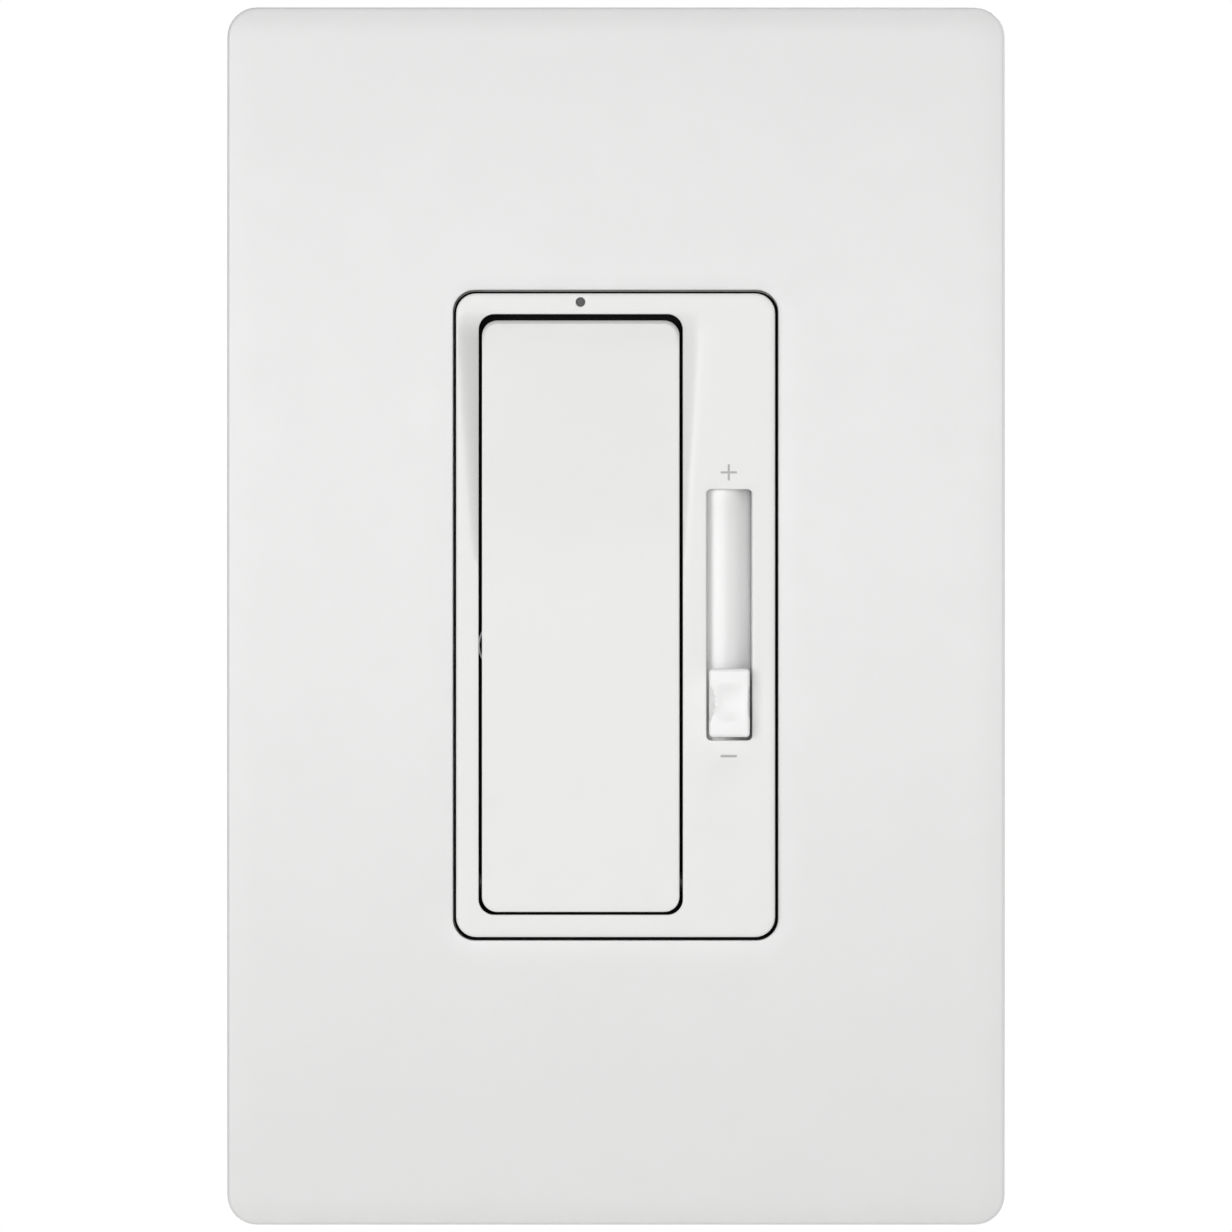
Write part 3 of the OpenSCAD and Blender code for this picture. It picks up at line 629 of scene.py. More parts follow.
def resistor_lacquer():
    """Baked tan lacquer with painted colour bands across the body."""
    made, tree, shader, where = new_surface("banded_resistor_lacquer", "#D4B48A", 0.28, IOR=1.52)
    vary_colour(tree, shader, grain(tree, where, 0.8 * MM), "#C9A77B", "#DDBF96")
    bands = add(tree, "ShaderNodeTexWave", {"Vector": where, "Scale": 0.16 / (1.6 * MM),
                                            "Distortion": 0.0}, bands_direction="X")
    stripe = add(tree, "ShaderNodeMapRange",
                 {"Value": bands.outputs["Fac"], "From Min": 0.86, "From Max": 0.9})
    base = shader.inputs["Base Color"].links[0].from_socket
    mixed = add(tree, "ShaderNodeMix", {"Factor": stripe.outputs["Result"], "A": base,
                                        "B": linear("#7A3A20")}, data_type="RGBA")
    tree.links.new(mixed.outputs["Result"], shader.inputs["Base Color"])
    return made


def green_passivated_steel():
    """Green chromate over zinc: a metallic green with an oily variation in tint."""
    made, tree, shader, where = new_surface("green_passivated_steel", "#2F8A4E", 0.33,
                                            Metallic=1.0)
    tint = grain(tree, where, 1.2 * MM, 4, 0.6)
    vary_colour(tree, shader, tint, "#22703D", "#58A065")
    vary_roughness(tree, shader, tint, 0.26, 0.42)
    return made


# Slot: maker, then its settings
FINISHES = {
    "plate_white": (polycarbonate_plate,),
    "device_white": (asa_device,),
    # Sub-plate behind the cover, from the same ASA but with a flat matt tool finish.
    "sub_plate_white": (moulded, "matt_asa_sub_plate", "#EDEDE9", 0.55, 1.52, 0.3, 0.008),
    "housing_black": (pbt_housing,),
    # Sheet aluminium as rolled: soft grey shine with fine lines along the strip.
    "aluminium": (worked_metal, "rolled_aluminium", "#D9DADC", 0.34, 0.25, (6, 6, 0.3), 0.006),
    "zinc_steel": (zinc_plated_steel,),
    # Drawn spring wire: darker steel with fine die lines along the wire.
    "spring_steel": (worked_metal, "drawn_spring_steel", "#A9ABAD", 0.3, 0.2, (0.5, 5, 5), 0.004),
    # Stamped brass: warm yellow, dulled a little by handling.
    "brass": (worked_metal, "stamped_brass", "#CFAE6A", 0.3, 0.3, (4, 1, 4), 0.006),
    # Contact strip: reddish metal with rolling lines, and duller where it has tarnished.
    "copper": (worked_metal, "rolled_phosphor_bronze", "#C98A66", 0.32, 0.25, (4, 0.6, 4), 0.005),
    "fibre_red": (vulcanised_fibre,),
    "clear_acrylic": (acrylic_pipe,),
    "lamp_lens": (epoxy_lens,),
    "board_green": (solder_resist,),
    # Cream nylon 66: slightly waxy, with a faint flow pattern from the mould.
    "switch_cream": (moulded, "moulded_cream_nylon", "#E2D8C0", 0.45, 1.53, 0.4, 0.008, 0.95),
    # Red PBT plunger: even and slightly glossy.
    "plunger_red": (moulded, "moulded_red_pbt", "#C23A2C", 0.38, 1.54, 0.4, 0.006, 0.93),
    # Acetal: slippery off-white with a low soft shine.
    "carriage_white": (moulded, "moulded_acetal", "#ECEAE2", 0.36, 1.48, 0.4, 0.005, 0.97),
    "phenolic": (paper_phenolic,),
    # Transfer-moulded epoxy: black, matt and very slightly pebbled.
    "epoxy_black": (moulded, "transfer_moulded_epoxy", "#2B2B2D", 0.5, 1.55, 0.15, 0.012, 0.85),
    # Filled silicone sheet: soft grey with a dry fine grain.
    "silicone_grey": (moulded, "filled_silicone_sheet", "#A9B1B8", 0.75, 1.41, 0.2, 0.02, 0.93),
    # Pressed iron powder under yellow epoxy paint, whose powder coat has a soft pebble.
    "ferrite_yellow": (moulded, "epoxy_coated_iron_powder", "#DCC764", 0.42, 1.53, 0.5, 0.05, 0.9),
    # Dipped capacitor coat: deep red, glossy, uneven where the dip ran.
    "film_red": (moulded, "dipped_red_epoxy", "#B43A2B", 0.2, 1.55, 1.8, 0.08, 0.88),
    "resistor_tan": (resistor_lacquer,),
    # Blue lacquer over a glass diode: very glossy.
    "diac_blue": (moulded, "lacquered_glass_diode", "#5C7FBC", 0.12, 1.52, 0.6, 0.006, 0.85),
    # Unglazed fired ceramic: chalky off-white with a dry grain.
    "fuse_ceramic": (moulded, "fired_ceramic", "#E6E2D8", 0.65, 1.6, 0.15, 0.02, 0.94),
    # Blue moulded trimmer case with a satin surface.
    "trimmer_blue": (moulded, "moulded_trimmer_case", "#4673B4", 0.42, 1.54, 0.3, 0.008, 0.92),
    "ground_green": (green_passivated_steel,),
}
MADE = {}


def finish_for(slot):
    if slot not in MADE:
        make, *values = FINISHES[slot]
        MADE[slot] = make(*values)
    return MADE[slot]


def place_piece(piece, body, slot, *stands_for, extra=()):
    """Gives a new piece the material of its slot and its body, and hides the CAD nodes it stands
    for.
    """
    for made in (finish_for(slot), *extra):
        piece.data.materials.append(made)
    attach(piece, body)
    if stands_for:
        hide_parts(*stands_for)


def finish_nodes(slots_by_node, edge_mm):
    """Gives carried-over CAD nodes their material and a small rounding on their hard edges."""
    for node, slot in slots_by_node.items():
        piece = NODES[node]
        piece.data.materials.clear()
        piece.data.materials.append(finish_for(slot))
        if edge_mm:
            weld = piece.modifiers.new("seam_weld", "WELD")
            weld.merge_threshold = 0.001 * MM
            bevel = piece.modifiers.new("edge_rounding", "BEVEL")
            bevel.width = edge_mm * MM
            bevel.segments = 2
            bevel.limit_method = "ANGLE"
            bevel.angle_limit = SHARP_ANGLE
            bevel.use_clamp_overlap = True


# --- shapes of the moulded front

def crown_y(z):
    """Depth of the plate's crowned face behind its middle."""
    crown = sizes().crown
    half = (PLATE_HIGH.z - PLATE_LOW.z) / 2
    radius = (half * half + crown * crown) / (2 * crown)
    return radius - math.sqrt(radius * radius - z * z)


def sink_slope():
    return sizes().sink / (PADDLE_TOP - BEND_Z)


def sink_y(z):
    """How far the paddle's face lies behind the bezel's face."""
    slope = sink_slope()
    if z < BEND_Z - BEND_HALF:
        return 0.0
    if z > BEND_Z + BEND_HALF:
        return slope * (z - BEND_Z)
    return slope * (z - BEND_Z + BEND_HALF) ** 2 / (4 * BEND_HALF)


WINDOW_X = PADDLE_X
WINDOW_W = 20.96 * MM
WINDOW_LOW_Z, WINDOW_TOP_Z = -30.65 * MM, 30.98 * MM
WINDOW_R = 1.6 * MM


def scoop_y(x, z):
    """Depth of the rolled-down flanks beside the sunken top of the paddle."""
    if z <= BEND_Z or z >= WINDOW_TOP_Z:
        return 0.0
    side = 1 if x > WINDOW_X else -1
    gap = abs(x - WINDOW_X) - WINDOW_W / 2
    reach = sizes().scoop_w * (z - BEND_Z) / (WINDOW_TOP_Z - BEND_Z)
    reach *= 1.0 if side > 0 else 0.8
    if gap >= reach or reach <= 0:
        return 0.0
    fade = min(1.0, max(0.0, (WINDOW_TOP_Z - z) / (2.4 * MM)))
    fade = fade * fade * (3 - 2 * fade)
    u = max(gap, 0.0) / reach
    share, power = (0.72, 2.0) if side > 0 else (1.16, 1.25)
    return sink_slope() * (z - BEND_Z) * share * (1 - u) ** power * fade


# --- operators: the front

class DIMMER_OT_cover_plate(bpy.types.Operator):
    """Crowned screwless plate with rounded edges and a rounded opening"""
    bl_idname = "dimmer.cover_plate"
    bl_label = "Cover plate"

    def execute(self, context):
        s = sizes()
        size = PLATE_HIGH - PLATE_LOW
        outer = Outline(size.x, size.z, 3.05 * MM, step=2 * MM)
        opening = Outline(33.38 * MM, 66.75 * MM, 2.25 * MM, -0.05 * MM, 0.08 * MM, step=2 * MM)
        piece = moulded_shell("cover_plate_moulding", outer, s.plate_edge,
                              [(opening, s.opening_edge)],
                              lambda x, z: PLATE_LOW.y + crown_y(z), s.plate_wall,
                              PLATE_HIGH.y, 2.6 * MM)
        inside = size.x / 2 - s.plate_wall
        rib_t, rib_h = 0.45 * MM, 14 * MM
        ribs = []
        for side in (-1, 1):
            left, right = sorted((side * inside, side * (inside - rib_t)))
            ribs += [block("snap_rib", (left, -1 * MM, z), (right, -0.3 * MM, z + rib_h))
                     for z in (-41 * MM, 27 * MM)]
        piece = join("cover_plate_moulding", [piece, *ribs])
        place_piece(piece, "root", "plate_white", "cover_plate")
        return {"FINISHED"}


class DIMMER_OT_bezel(bpy.types.Operator):
    """Bezel with the paddle window, the slide slot, scooped flanks, lamp hole and marks"""
    bl_idname = "dimmer.bezel"
    bl_label = "Bezel"

    def execute(self, context):
        s = sizes()
        outer = Outline(32.71 * MM, 66.01 * MM, 2.05 * MM, -0.04 * MM, 0.08 * MM, step=1.2 * MM)
        window = Outline(WINDOW_W, WINDOW_TOP_Z - WINDOW_LOW_Z, WINDOW_R, WINDOW_X,
                         (WINDOW_TOP_Z + WINDOW_LOW_Z) / 2, step=0.8 * MM)
        slot = Outline(4.69 * MM, 25.75 * MM, 0.5 * MM, SLOT_X, SLOT_Z, step=0.8 * MM, corner=6)
        lamp = Ring(0.485 * MM, PIPE_X, PIPE_Z)
        plus = Cross(1.66 * MM, 0.22 * MM, 11.57 * MM, 14.73 * MM)
        minus = Outline(1.66 * MM, 0.26 * MM, 0.04 * MM, 11.57 * MM, -14.37 * MM, corner=2)
        piece = moulded_shell("bezel_moulding", outer, s.bezel_edge,
                              [(window, s.window_edge), (slot, s.slot_edge), (lamp, 0.06 * MM)],
                              lambda x, z: FACE_Y + scoop_y(x, z), s.bezel_wall,
                              STRAP_Y - 0.08 * MM, 0.62 * MM,
                              [(plus, s.mark_depth), (minus, s.mark_depth)])
        inner_parts = [block("bay_wall", (7 * MM, -5.4 * MM, -31.9 * MM),
                             (8.3 * MM, -1.5 * MM, 31.9 * MM))]
        for side in (-1, 1):
            for z in (-25 * MM, 25 * MM):
                x = side * 15.3 * MM
                inner_parts.append(block("snap_hook", (x - 0.6 * MM, -2.5 * MM, z - 2.5 * MM),
                                         (x + 0.6 * MM, 1.6 * MM, z + 2.5 * MM)))
                barb = [(side * 15.8 * MM, 0.05 * MM), (side * 16.5 * MM, 0.05 * MM),
                        (side * 15.8 * MM, 1.5 * MM)]
                inner_parts.append(prism("snap_barb", barb, z - 2.5 * MM, z + 2.5 * MM))
        piece = join("bezel_moulding", [piece, *inner_parts])
        # The mark floors take the grey painted-shade material.
        place_piece(piece, "root", "device_white", "bezel", extra=[mark_recess_shade()])
        return {"FINISHED"}


class DIMMER_OT_paddle(bpy.types.Operator):
    """Paddle whose face runs inward to a sunken, bevelled top edge"""
    bl_idname = "dimmer.paddle"
    bl_label = "Paddle"

    def execute(self, context):
        s = sizes()
        line = Outline(PADDLE_W, PADDLE_H, 1.55 * MM, PADDLE_X, 0, step=0.8 * MM)
        bevel = s.paddle_bevel
        blend = 0.03 * MM

        def face(x, z):
            t = min(1.0, max(0.0, (z - (PADDLE_TOP - 2.4 * MM)) / (1.6 * MM)))
            over = bevel + line.distance(x, z)
            drop = (over + math.sqrt(over * over + blend * blend)) / 2 if over > -5 * blend else 0.0
            return FACE_Y + sink_y(z) + drop * t * t * (3 - 2 * t)

        bm = bmesh.new()
        steps = edge_steps(s.paddle_edge)
        steps += [bevel + blend * k for k in (-1.5, -0.75, 0, 0.75, 1.5, 3) if
                  bevel + blend * k > steps[-1]]
        front = patch(bm, [(line, s.paddle_edge)], face, 1.0 * MM, steps)[0]
        wall = 1.6 * MM
        inner = Outline(PADDLE_W - 2 * wall, PADDLE_H - 2 * wall, 0.4 * MM, PADDLE_X, 0)
        inner.nx, inner.nz, inner.corner = line.nx, line.nz, line.corner
        back = patch(bm, [(inner, 0.0)], lambda x, z: FACE_Y + sink_y(z) + 1.5 * MM, 2.5 * MM)[0]
        skirt = [PADDLE_LOW.y + 2.9 * MM + sink_y(z) * 0.25 for _, z in line.loop()]
        outer_rim = [bm.verts.new((x, y, z)) for (x, z), y in zip(line.loop(), skirt)]
        inner_rim = [bm.verts.new((x, y, z)) for (x, z), y in zip(inner.loop(), skirt)]
        skin(bm, front, outer_rim, inner_rim, back)
        parts = [to_object(bm, "paddle_face")]
        root_y = -5.2 * MM
        for side in (-1, 1):
            x = PADDLE_X + side * 9.2 * MM
            parts.append(block("skirt", (x - 0.5 * MM, root_y, -25 * MM),
                               (x + 0.5 * MM, -3.9 * MM, 27.5 * MM)))
            x = PADDLE_X + side * 8.4 * MM
            parts.append(block("lug_root", (x - 0.8 * MM, -6.2 * MM, HINGE_Z - 1.9 * MM),
                               (x + 0.8 * MM, -4.58 * MM, HINGE_Z + 1.9 * MM)))
            parts.append(rod("lug_eye", 0, 1.9 * MM, x - 0.8 * MM, x + 0.8 * MM,
                             (0, HINGE_Y, HINGE_Z), bore=1.05 * MM))
        parts.append(block("cross_rib", (PADDLE_X - 9.2 * MM, root_y - 1 * MM, 8 * MM),
                           (PADDLE_X + 9.2 * MM, -4.4 * MM, 9 * MM)))
        parts.append(rod("plunger_boss", 1, 2.2 * MM, root_y, -3.35 * MM,
                         (PADDLE_X, 0, 22 * MM), chamfer=0.2 * MM))
        piece = join("paddle_moulding", parts)
        place_piece(piece, "rocker", "device_white", "paddle")
        return {"FINISHED"}


FILM_FRONT, FILM_BACK = 0.07 * MM, 0.01 * MM


class DIMMER_OT_gap_shade_sheet(bpy.types.Operator):
    """Thin black film on the strap, painted shade: it keeps the gaps round the paddle and bezel as
    dark as their shadow
    """
    bl_idname = "dimmer.bay_liner"
    bl_label = "Gap shade sheet"

    def execute(self, context):
        low, high = Vector((-14.9 * MM, 0, -31.6 * MM)), Vector((6.95 * MM, 0, 31.6 * MM))
        line = Outline(high.x - low.x, high.z - low.z, 1 * MM, (low.x + high.x) / 2, 0)
        plunger_hole = Ring(4.5 * MM, middle("switch_plunger", 0), middle("switch_plunger", 2))
        frame_line = Outline(34.6 * MM, 68 * MM, 2.4 * MM)
        frame_hole = Outline(31.9 * MM, 65.5 * MM, 1.6 * MM)
        head_low, head_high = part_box("triac_screw")
        screw_hole = Ring((head_high.x - head_low.x) / 2 + 0.02 * MM,
                          middle("triac_screw", 0), middle("triac_screw", 2))
        bm = bmesh.new()
        for edges in ([(line, 0.0), (plunger_hole, 0.0), (screw_hole, 0.0)],
                      [(frame_line, 0.0), (frame_hole, 0.0)]):
            sides = [patch(bm, edges, lambda x, z: y, 4 * MM)
                     for y in (STRAP_Y - FILM_FRONT, STRAP_Y - FILM_BACK)]
            for front, back in zip(*sides):
                bridge(bm, front, back)
        shade_film = to_object(bm, "gap_shade_sheet_mesh")
        # The sheet is black as painted shade for the gaps.
        shade_film.data.materials.append(gap_shade_sheet_finish())
        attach(shade_film, "root")
        return {"FINISHED"}


class DIMMER_OT_slide(bpy.types.Operator):
    """Slide knob with a waisted grip, and the curved shutter that closes the slot behind it"""
    bl_idname = "dimmer.slide"
    bl_label = "Slide knob and shutter"

    def execute(self, context):
        s = sizes()
        line = Outline(KNOB_W, KNOB_H, 0.4 * MM, SLOT_X, KNOB_Z, step=0.35 * MM, corner=6)

        def grip(x, z):
            across, along = (x - SLOT_X) / (KNOB_W / 2), (z - KNOB_Z) / (KNOB_H / 2)
            middle_part = max(0.0, 1 - (along / 0.56) ** 2)
            dish = s.knob_dish * middle_part * max(0.0, 1 - (across / 0.75) ** 2)
            pull = s.knob_waist * middle_part * (1.0 if across < 0 else 0.35)
            gap = KNOB_W / 2 - abs(x - SLOT_X)
            flank = 1.5 * MM * max(0.0, 1 - gap / pull) if pull > 0.05 * MM else 0.0
            return KNOB_LOW.y + dish * 0.5 + flank

        knob = solid_panel("slide_knob_moulding", line, 0.3 * MM, grip, -6.9 * MM, 0.22 * MM)
        stem = block("slide_knob_stem", (SLOT_X - 0.8 * MM, -6.95 * MM, KNOB_Z - 1.5 * MM),
                     (SLOT_X + 0.8 * MM, KNOB_HIGH.y, KNOB_Z + 1.5 * MM))
        knob = join("slide_knob_grip", [knob, stem])
        place_piece(knob, "slider", "device_white", "slide_knob")
        # The knob takes the lighter copy of the ASA, painted light.
        knob.data.materials[0] = lit_asa_copy()

        low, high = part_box("slide_shutter")
        crest_half, count = 2.25 * MM, 18
        half = (high.x - low.x) / 2

        def fall(x):
            """Depth behind the crest: a gentle curve that steepens towards the right."""
            off = (x + s.shutter_lean) / MM
            return (off * off / 8.4 + (0.02 * off ** 4 if off > 0 else 0.0)) * MM

        flange = [(-half, 0.22 * MM), (-crest_half - 0.18 * MM, 0.22 * MM)]
        steps = [crest_half * (2 * i / count - 1) for i in range(count + 1)]
        front = [*flange, *[(x, fall(x)) for x in steps], *[(-x, y) for x, y in flange[::-1]]]
        outline = [(x, low.y + y) for x, y in front]
        outline += [(x, low.y + y + 0.9 * MM) for x, y in reversed(front)]
        shutter = prism("slide_shutter_strip", [(SLOT_X + x, y) for x, y in outline],
                        low.z, high.z)
        place_piece(shutter, "slider", "device_white", "slide_shutter")
        # The shutter takes the same lighter copy of the ASA, painted light.
        shutter.data.materials[0] = knob.data.materials[0]
        return {"FINISHED"}


# --- operators: metal and inside

def threaded_screw(name, profile, thread, tip, z, around=28):
    """Turned screw along +Y at height z. profile is a list of (Y, radius) from the head's
    front to where the thread starts, thread is (end Y, radius, pitch), tip is (Y, radius)."""
    bm = bmesh.new()
    rows = [[(y, r)] * around for y, r in profile]
    start_y = profile[-1][0]
    end_y, radius, pitch = thread
    depth = pitch * 0.5
    steps = int((end_y - start_y) / pitch * 8)
    for k in range(steps + 1):
        y = start_y + (end_y - start_y) * k / steps
        run_in = min(1.0, (y - start_y) / pitch)
        row = []
        for i in range(around):
            phase = (y / pitch - i / around) % 1.0
            ridge = min(1.0, (1 - abs(2 * phase - 1)) * 1.25)
            row.append((y, radius - depth * (1 - ridge) * run_in))
        rows.append(row)
    rows.append([tip] * around)
    rings = []
    for row in rows:
        rings.append([bm.verts.new((r * math.cos(2 * math.pi * i / around), y,
                                    z + r * math.sin(2 * math.pi * i / around)))
                      for i, (y, r) in enumerate(row)])
    capped(bm, rings)
    return to_object(bm, name, SCREW_SHARP)


def cut(piece, cutter):
    """Cuts one mesh out of another, and keeps the result as plain mesh."""
    hole = piece.modifiers.new("cut", "BOOLEAN")
    hole.object = cutter
    hole.operation = "DIFFERENCE"
    hole.solver = "EXACT"
    seen = piece.evaluated_get(bpy.context.evaluated_depsgraph_get())
    mesh = bpy.data.meshes.new_from_object(seen)
    piece.modifiers.clear()
    piece.data = mesh
    bpy.data.objects.remove(cutter)
    mesh.set_sharp_from_angle(angle=SCREW_SHARP)


def oval_head(front, radius, dome, back, neck):
    """Profile of an oval head with a domed front, its rim and the neck under it."""
    points = []
    for i in range(9):
        a = math.pi / 2 * (8 - i) / 8
        points.append((front + dome * (1 - math.sin(a)), max(radius * math.cos(a), 0.02 * MM)))
    return points + [(back - 0.1 * MM, radius), (back, radius - 0.1 * MM), (back, neck)]


def screw_pair(node, rim, profile, thread_end, tip, slot_half, slot_depth):
    """Two slotted screws, one at each end of the device, in place of a CAD node."""
    low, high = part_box(node)
    made = []
    for end in (-1, 1):
        z = end * (high.z - rim)
        screw = threaded_screw(node[:-1], profile, (thread_end, THREAD_R, THREAD_PITCH), tip, z)
        cut(screw, block("slot_cutter", (-4 * MM, low.y - 1 * MM, z - slot_half),
                         (4 * MM, low.y + slot_depth, z + slot_half)))
        made.append(screw)
    place_piece(join(node[:-1] + "_pair", made), "root", "zinc_steel", node)


class DIMMER_OT_box_screws(bpy.types.Operator):
    """Two long slotted screws with cut threads that hold the device in its box"""
    bl_idname = "dimmer.box_screws"
    bl_label = "Box screws"

    def execute(self, context):
        low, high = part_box("box_screws")
        head_r, neck_r = 3.3 * MM, 1.55 * MM
        profile = [*oval_head(low.y, head_r, 0.9 * MM, STRAP_Y, neck_r), (0.0, neck_r)]
        screw_pair("box_screws", head_r, profile, 22 * MM, (high.y, 0.9 * MM), 0.5 * MM, 1 * MM)
        return {"FINISHED"}


class DIMMER_OT_plate_screws(bpy.types.Operator):
    """Two short countersunk screws with cut threads that hold the sub-plate to the strap"""
    bl_idname = "dimmer.plate_screws"
    bl_label = "Plate screws"

    def execute(self, context):
        low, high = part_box("plate_screws")
        head_r = 3.15 * MM
        profile = [(low.y, 0.02 * MM), (low.y, 3.1 * MM), (low.y + 0.06 * MM, head_r),
                   (low.y + 1.25 * MM, THREAD_R), (low.y + 1.6 * MM, THREAD_R)]
        screw_pair("plate_screws", head_r, profile, high.y - 0.4 * MM, (high.y, 1.35 * MM),
                   0.45 * MM, 0.75 * MM)
        return {"FINISHED"}


class DIMMER_OT_metalwork(bpy.types.Operator):
    """Strap, pin, washers, housing screws and terminal metal"""
    bl_idname = "dimmer.metalwork"
    bl_label = "Metalwork"

    def execute(self, context):
        finish_nodes({"mounting_strap": "aluminium"}, 0.12)
        finish_nodes({"housing_screws": "zinc_steel", "terminal_screws": "brass",
                      "terminal_clamps": "brass",
                      "pressure_plates": "brass", "ground_screw": "ground_green",
                      "ground_washer": "brass", "screw_retainers": "fibre_red"}, 0.08)
        finish_nodes({"paddle_pin": "spring_steel"}, 0.05)
        return {"FINISHED"}


class DIMMER_OT_housing(bpy.types.Operator):
    """Rear housing and sub-plate"""
    bl_idname = "dimmer.housing"
    bl_label = "Rear housing and sub-plate"

    def execute(self, context):
        finish_nodes({"rear_housing": "housing_black", "sub_plate": "sub_plate_white"}, 0.25)
        return {"FINISHED"}


class DIMMER_OT_board_parts(bpy.types.Operator):
    """Circuit board and the parts soldered to it"""
    bl_idname = "dimmer.board_parts"
    bl_label = "Board and its parts"

    def execute(self, context):
        finish_nodes({"circuit_board": "board_green"}, 0.06)
        finish_nodes({"light_pipe": "clear_acrylic", "led_lamp": "lamp_lens",
                      "triac": "epoxy_black", "triac_pad": "silicone_grey",
                      "triac_screw": "zinc_steel", "choke_core": "ferrite_yellow",
                      "choke_winding": "copper", "diac": "diac_blue",
                      "fuse": "fuse_ceramic", "resistors": "resistor_tan"}, 0.05)
        finish_nodes({"filter_capacitor": "film_red", "timing_capacitors": "film_red",
                      "trim_case": "trimmer_blue", "trim_rotor": "carriage_white"}, 0.3)
        # The triac screw's dark finish is partly painted shade for the gap it shows through.
        for node, made in (("choke_winding", enamelled_copper()),
                           ("triac_screw", black_oxide_and_gap_shade_steel())):
            NODES[node].data.materials.clear()
            NODES[node].data.materials.append(made)
        return {"FINISHED"}


class DIMMER_OT_plunger_spring(bpy.types.Operator):
    """Coiled return spring for the plunger"""
    bl_idname = "dimmer.plunger_spring"
    bl_label = "Plunger spring"

    def execute(self, context):
        low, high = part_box("plunger_spring")
        x, z = (low.x + high.x) / 2, (low.z + high.z) / 2
        wire, turns, per_turn, around = 0.24 * MM, 4.5, 20, 8
        coil = (high.x - low.x) / 2 - wire
        bm = bmesh.new()
        rings = []
        count = int(turns * per_turn)
        for i in range(count + 1):
            t = i / count
            ends = min(1.0, min(t, 1 - t) * turns)
            rise = t + 0.05 * math.sin(2 * math.pi * t) * (1 - ends)
            a = 2 * math.pi * turns * t
            y = low.y + wire + (high.y - low.y - 2 * wire) * rise
            ring = []
            for k in range(around):
                b = 2 * math.pi * k / around
                r = coil + wire * math.cos(b)
                ring.append(bm.verts.new((x + r * math.cos(a), y + wire * math.sin(b),
                                          z + r * math.sin(a))))
            rings.append(ring)
        capped(bm, rings)
        spring = to_object(bm, "plunger_spring_coil", math.radians(60))
        place_piece(spring, "root", "spring_steel", "plunger_spring")
        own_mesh(spring)
        return {"FINISHED"}


class DIMMER_OT_controls(bpy.types.Operator):
    """Switch and slide control behind the bezel"""
    bl_idname = "dimmer.controls"
    bl_label = "Switch and slide control"

    def execute(self, context):
        finish_nodes({"switch_base": "epoxy_black", "switch_cover": "switch_cream",
                      "switch_plunger": "plunger_red", "contact_arm": "copper",
                      "fixed_contacts": "copper", "slider_case": "zinc_steel",
                      "slider_track": "phenolic", "slider_carriage": "carriage_white",
                      "wiper_contacts": "brass", "slider_pins": "zinc_steel"}, 0.08)
        return {"FINISHED"}


# --- the studio

CAMERA_LENS = 500
CAMERA_SENSOR = 36
VIEW_WIDTH = 126.5 * MM
OUTLINE_Y = -5.5 * MM
FLOOR_SIDE, FLOOR_NEAR, FLOOR_FAR, FLOOR_Z = 3.0, -4.0, 2.3, -0.15
AMBIENT, BACKDROP = 0.225, 1.0


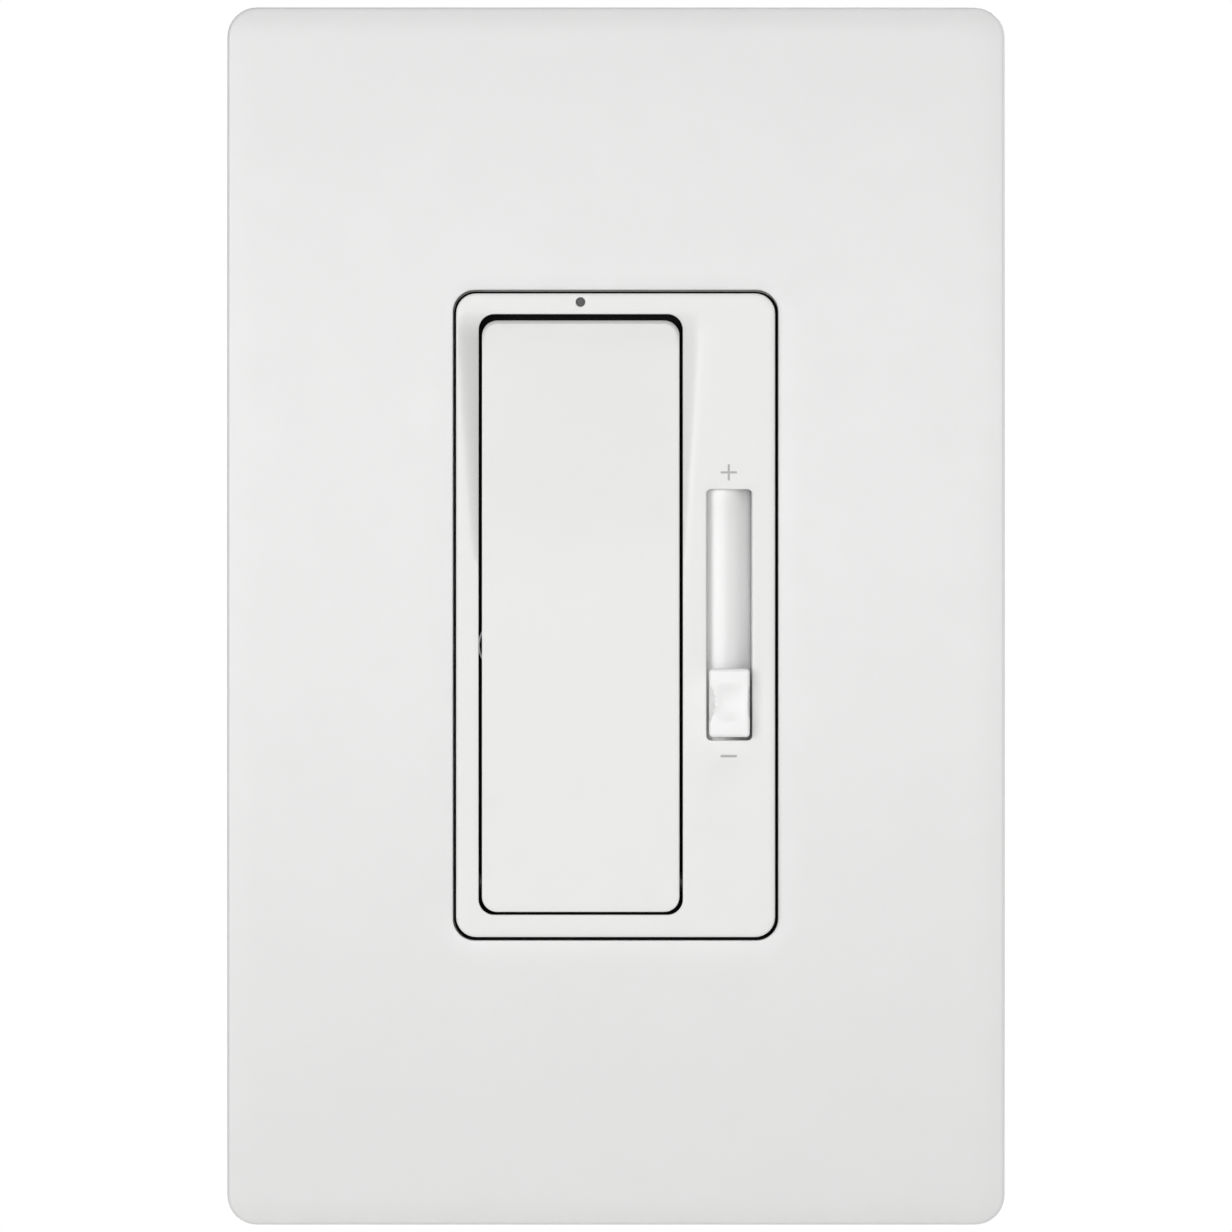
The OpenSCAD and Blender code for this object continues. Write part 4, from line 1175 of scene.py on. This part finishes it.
class DIMMER_OT_studio(bpy.types.Operator):
    """Camera square to the front, soft lights and a pale floor"""
    bl_idname = "dimmer.studio"
    bl_label = "Studio"

    def execute(self, context):
        scene = context.scene
        camera_data = bpy.data.cameras.new("camera")
        camera_data.type = "PERSP"
        camera_data.lens = CAMERA_LENS
        camera_data.sensor_width = CAMERA_SENSOR
        camera_data.clip_start = 0.01
        camera = bpy.data.objects.new("camera", camera_data)
        distance = VIEW_WIDTH / 2 / (CAMERA_SENSOR / 2 / CAMERA_LENS)
        camera.location = (0, OUTLINE_Y - distance, 0)
        camera.rotation_euler = (math.pi / 2, 0, 0)
        scene.collection.objects.link(camera)
        scene.camera = camera
        scene.view_settings.view_transform = "Standard"

        lights = (
            ("front_softbox", (-0.26, -1.28, 0.06), (1.2, 0.26), 6.2),
            ("left_softbox", (-0.54, -1.16, 0.16), (0.34, 0.7), 1.7),
            ("top_softbox", (0.1, -0.45, 1.1), (1.0, 0.5), 1.8),
            ("back_softbox", (0.5, 1.3, 0.9), (0.9, 0.9), 12.0),
            ("side_softbox", (1.3, 0.3, 0.35), (0.7, 0.9), 5.0),
        )
        for name, place, size, power in lights:
            data = bpy.data.lights.new(name, "AREA")
            data.shape = "RECTANGLE"
            data.size, data.size_y = size
            data.energy = power
            lamp = bpy.data.objects.new(name, data)
            lamp.visible_camera = False
            lamp.location = place
            lamp.rotation_euler = (-Vector(place)).to_track_quat("-Z", "Y").to_euler()
            scene.collection.objects.link(lamp)

        world = bpy.data.worlds.new("studio_white")
        world.use_nodes = True
        scene.world = world
        tree = world.node_tree
        tree.nodes.clear()
        seen = add(tree, "ShaderNodeLightPath").outputs["Is Camera Ray"]
        strength = add(tree, "ShaderNodeMapRange",
                       {"Value": seen, "To Min": AMBIENT, "To Max": BACKDROP})
        light = add(tree, "ShaderNodeBackground", {"Color": (1, 1, 1, 1),
                                                   "Strength": strength.outputs["Result"]})
        add(tree, "ShaderNodeOutputWorld", {"Surface": light.outputs[0]})

        bm = bmesh.new()
        corners = [(-FLOOR_SIDE, FLOOR_NEAR), (FLOOR_SIDE, FLOOR_NEAR),
                   (FLOOR_SIDE, FLOOR_FAR), (-FLOOR_SIDE, FLOOR_FAR)]
        bm.faces.new([bm.verts.new((x, y, FLOOR_Z)) for x, y in corners])
        floor = to_object(bm, "studio_floor")
        made, tree, shader, where = new_surface("painted_board", colours().floor, 0.6, IOR=1.5)
        vary_colour(tree, shader, grain(tree, where, 60 * MM), shade(colours().floor, 0.985),
                    colours().floor)
        relief(tree, shader, grain(tree, where, 1.5 * MM, 3), 0.02 * MM)
        floor.data.materials.append(made)
        return {"FINISHED"}


# --- sidebar and running

STEPS = (
    DIMMER_OT_cover_plate, DIMMER_OT_bezel, DIMMER_OT_paddle, DIMMER_OT_gap_shade_sheet,
    DIMMER_OT_slide, DIMMER_OT_box_screws, DIMMER_OT_plate_screws, DIMMER_OT_metalwork,
    DIMMER_OT_housing, DIMMER_OT_board_parts,
    DIMMER_OT_plunger_spring, DIMMER_OT_controls, DIMMER_OT_studio,
)


class DIMMER_PT_sidebar(bpy.types.Panel):
    """Lists the sizes, colours and making steps"""
    bl_idname = "DIMMER_PT_sidebar"
    bl_label = "Paddle dimmer"
    bl_space_type = "VIEW_3D"
    bl_region_type = "UI"
    bl_category = "Dimmer"

    def draw(self, context):
        for group in (context.scene.dimmer_sizes, context.scene.dimmer_colours):
            for key in group.bl_rna.properties.keys():
                if key not in {"rna_type", "name"}:
                    self.layout.prop(group, key)
        for step in STEPS:
            self.layout.operator(step.bl_idname)


CLASSES = (DimmerSizes, DimmerColours, *STEPS, DIMMER_PT_sidebar)


def register():
    for made in CLASSES:
        bpy.utils.register_class(made)
    bpy.types.Scene.dimmer_sizes = PointerProperty(type=DimmerSizes)
    bpy.types.Scene.dimmer_colours = PointerProperty(type=DimmerColours)


def unregister():
    del bpy.types.Scene.dimmer_colours
    del bpy.types.Scene.dimmer_sizes
    for made in reversed(CLASSES):
        bpy.utils.unregister_class(made)


def main():
    register()
    for step in STEPS:
        group, name = step.bl_idname.split(".")
        getattr(getattr(bpy.ops, group), name)()


if __name__ == "__main__":
    main()
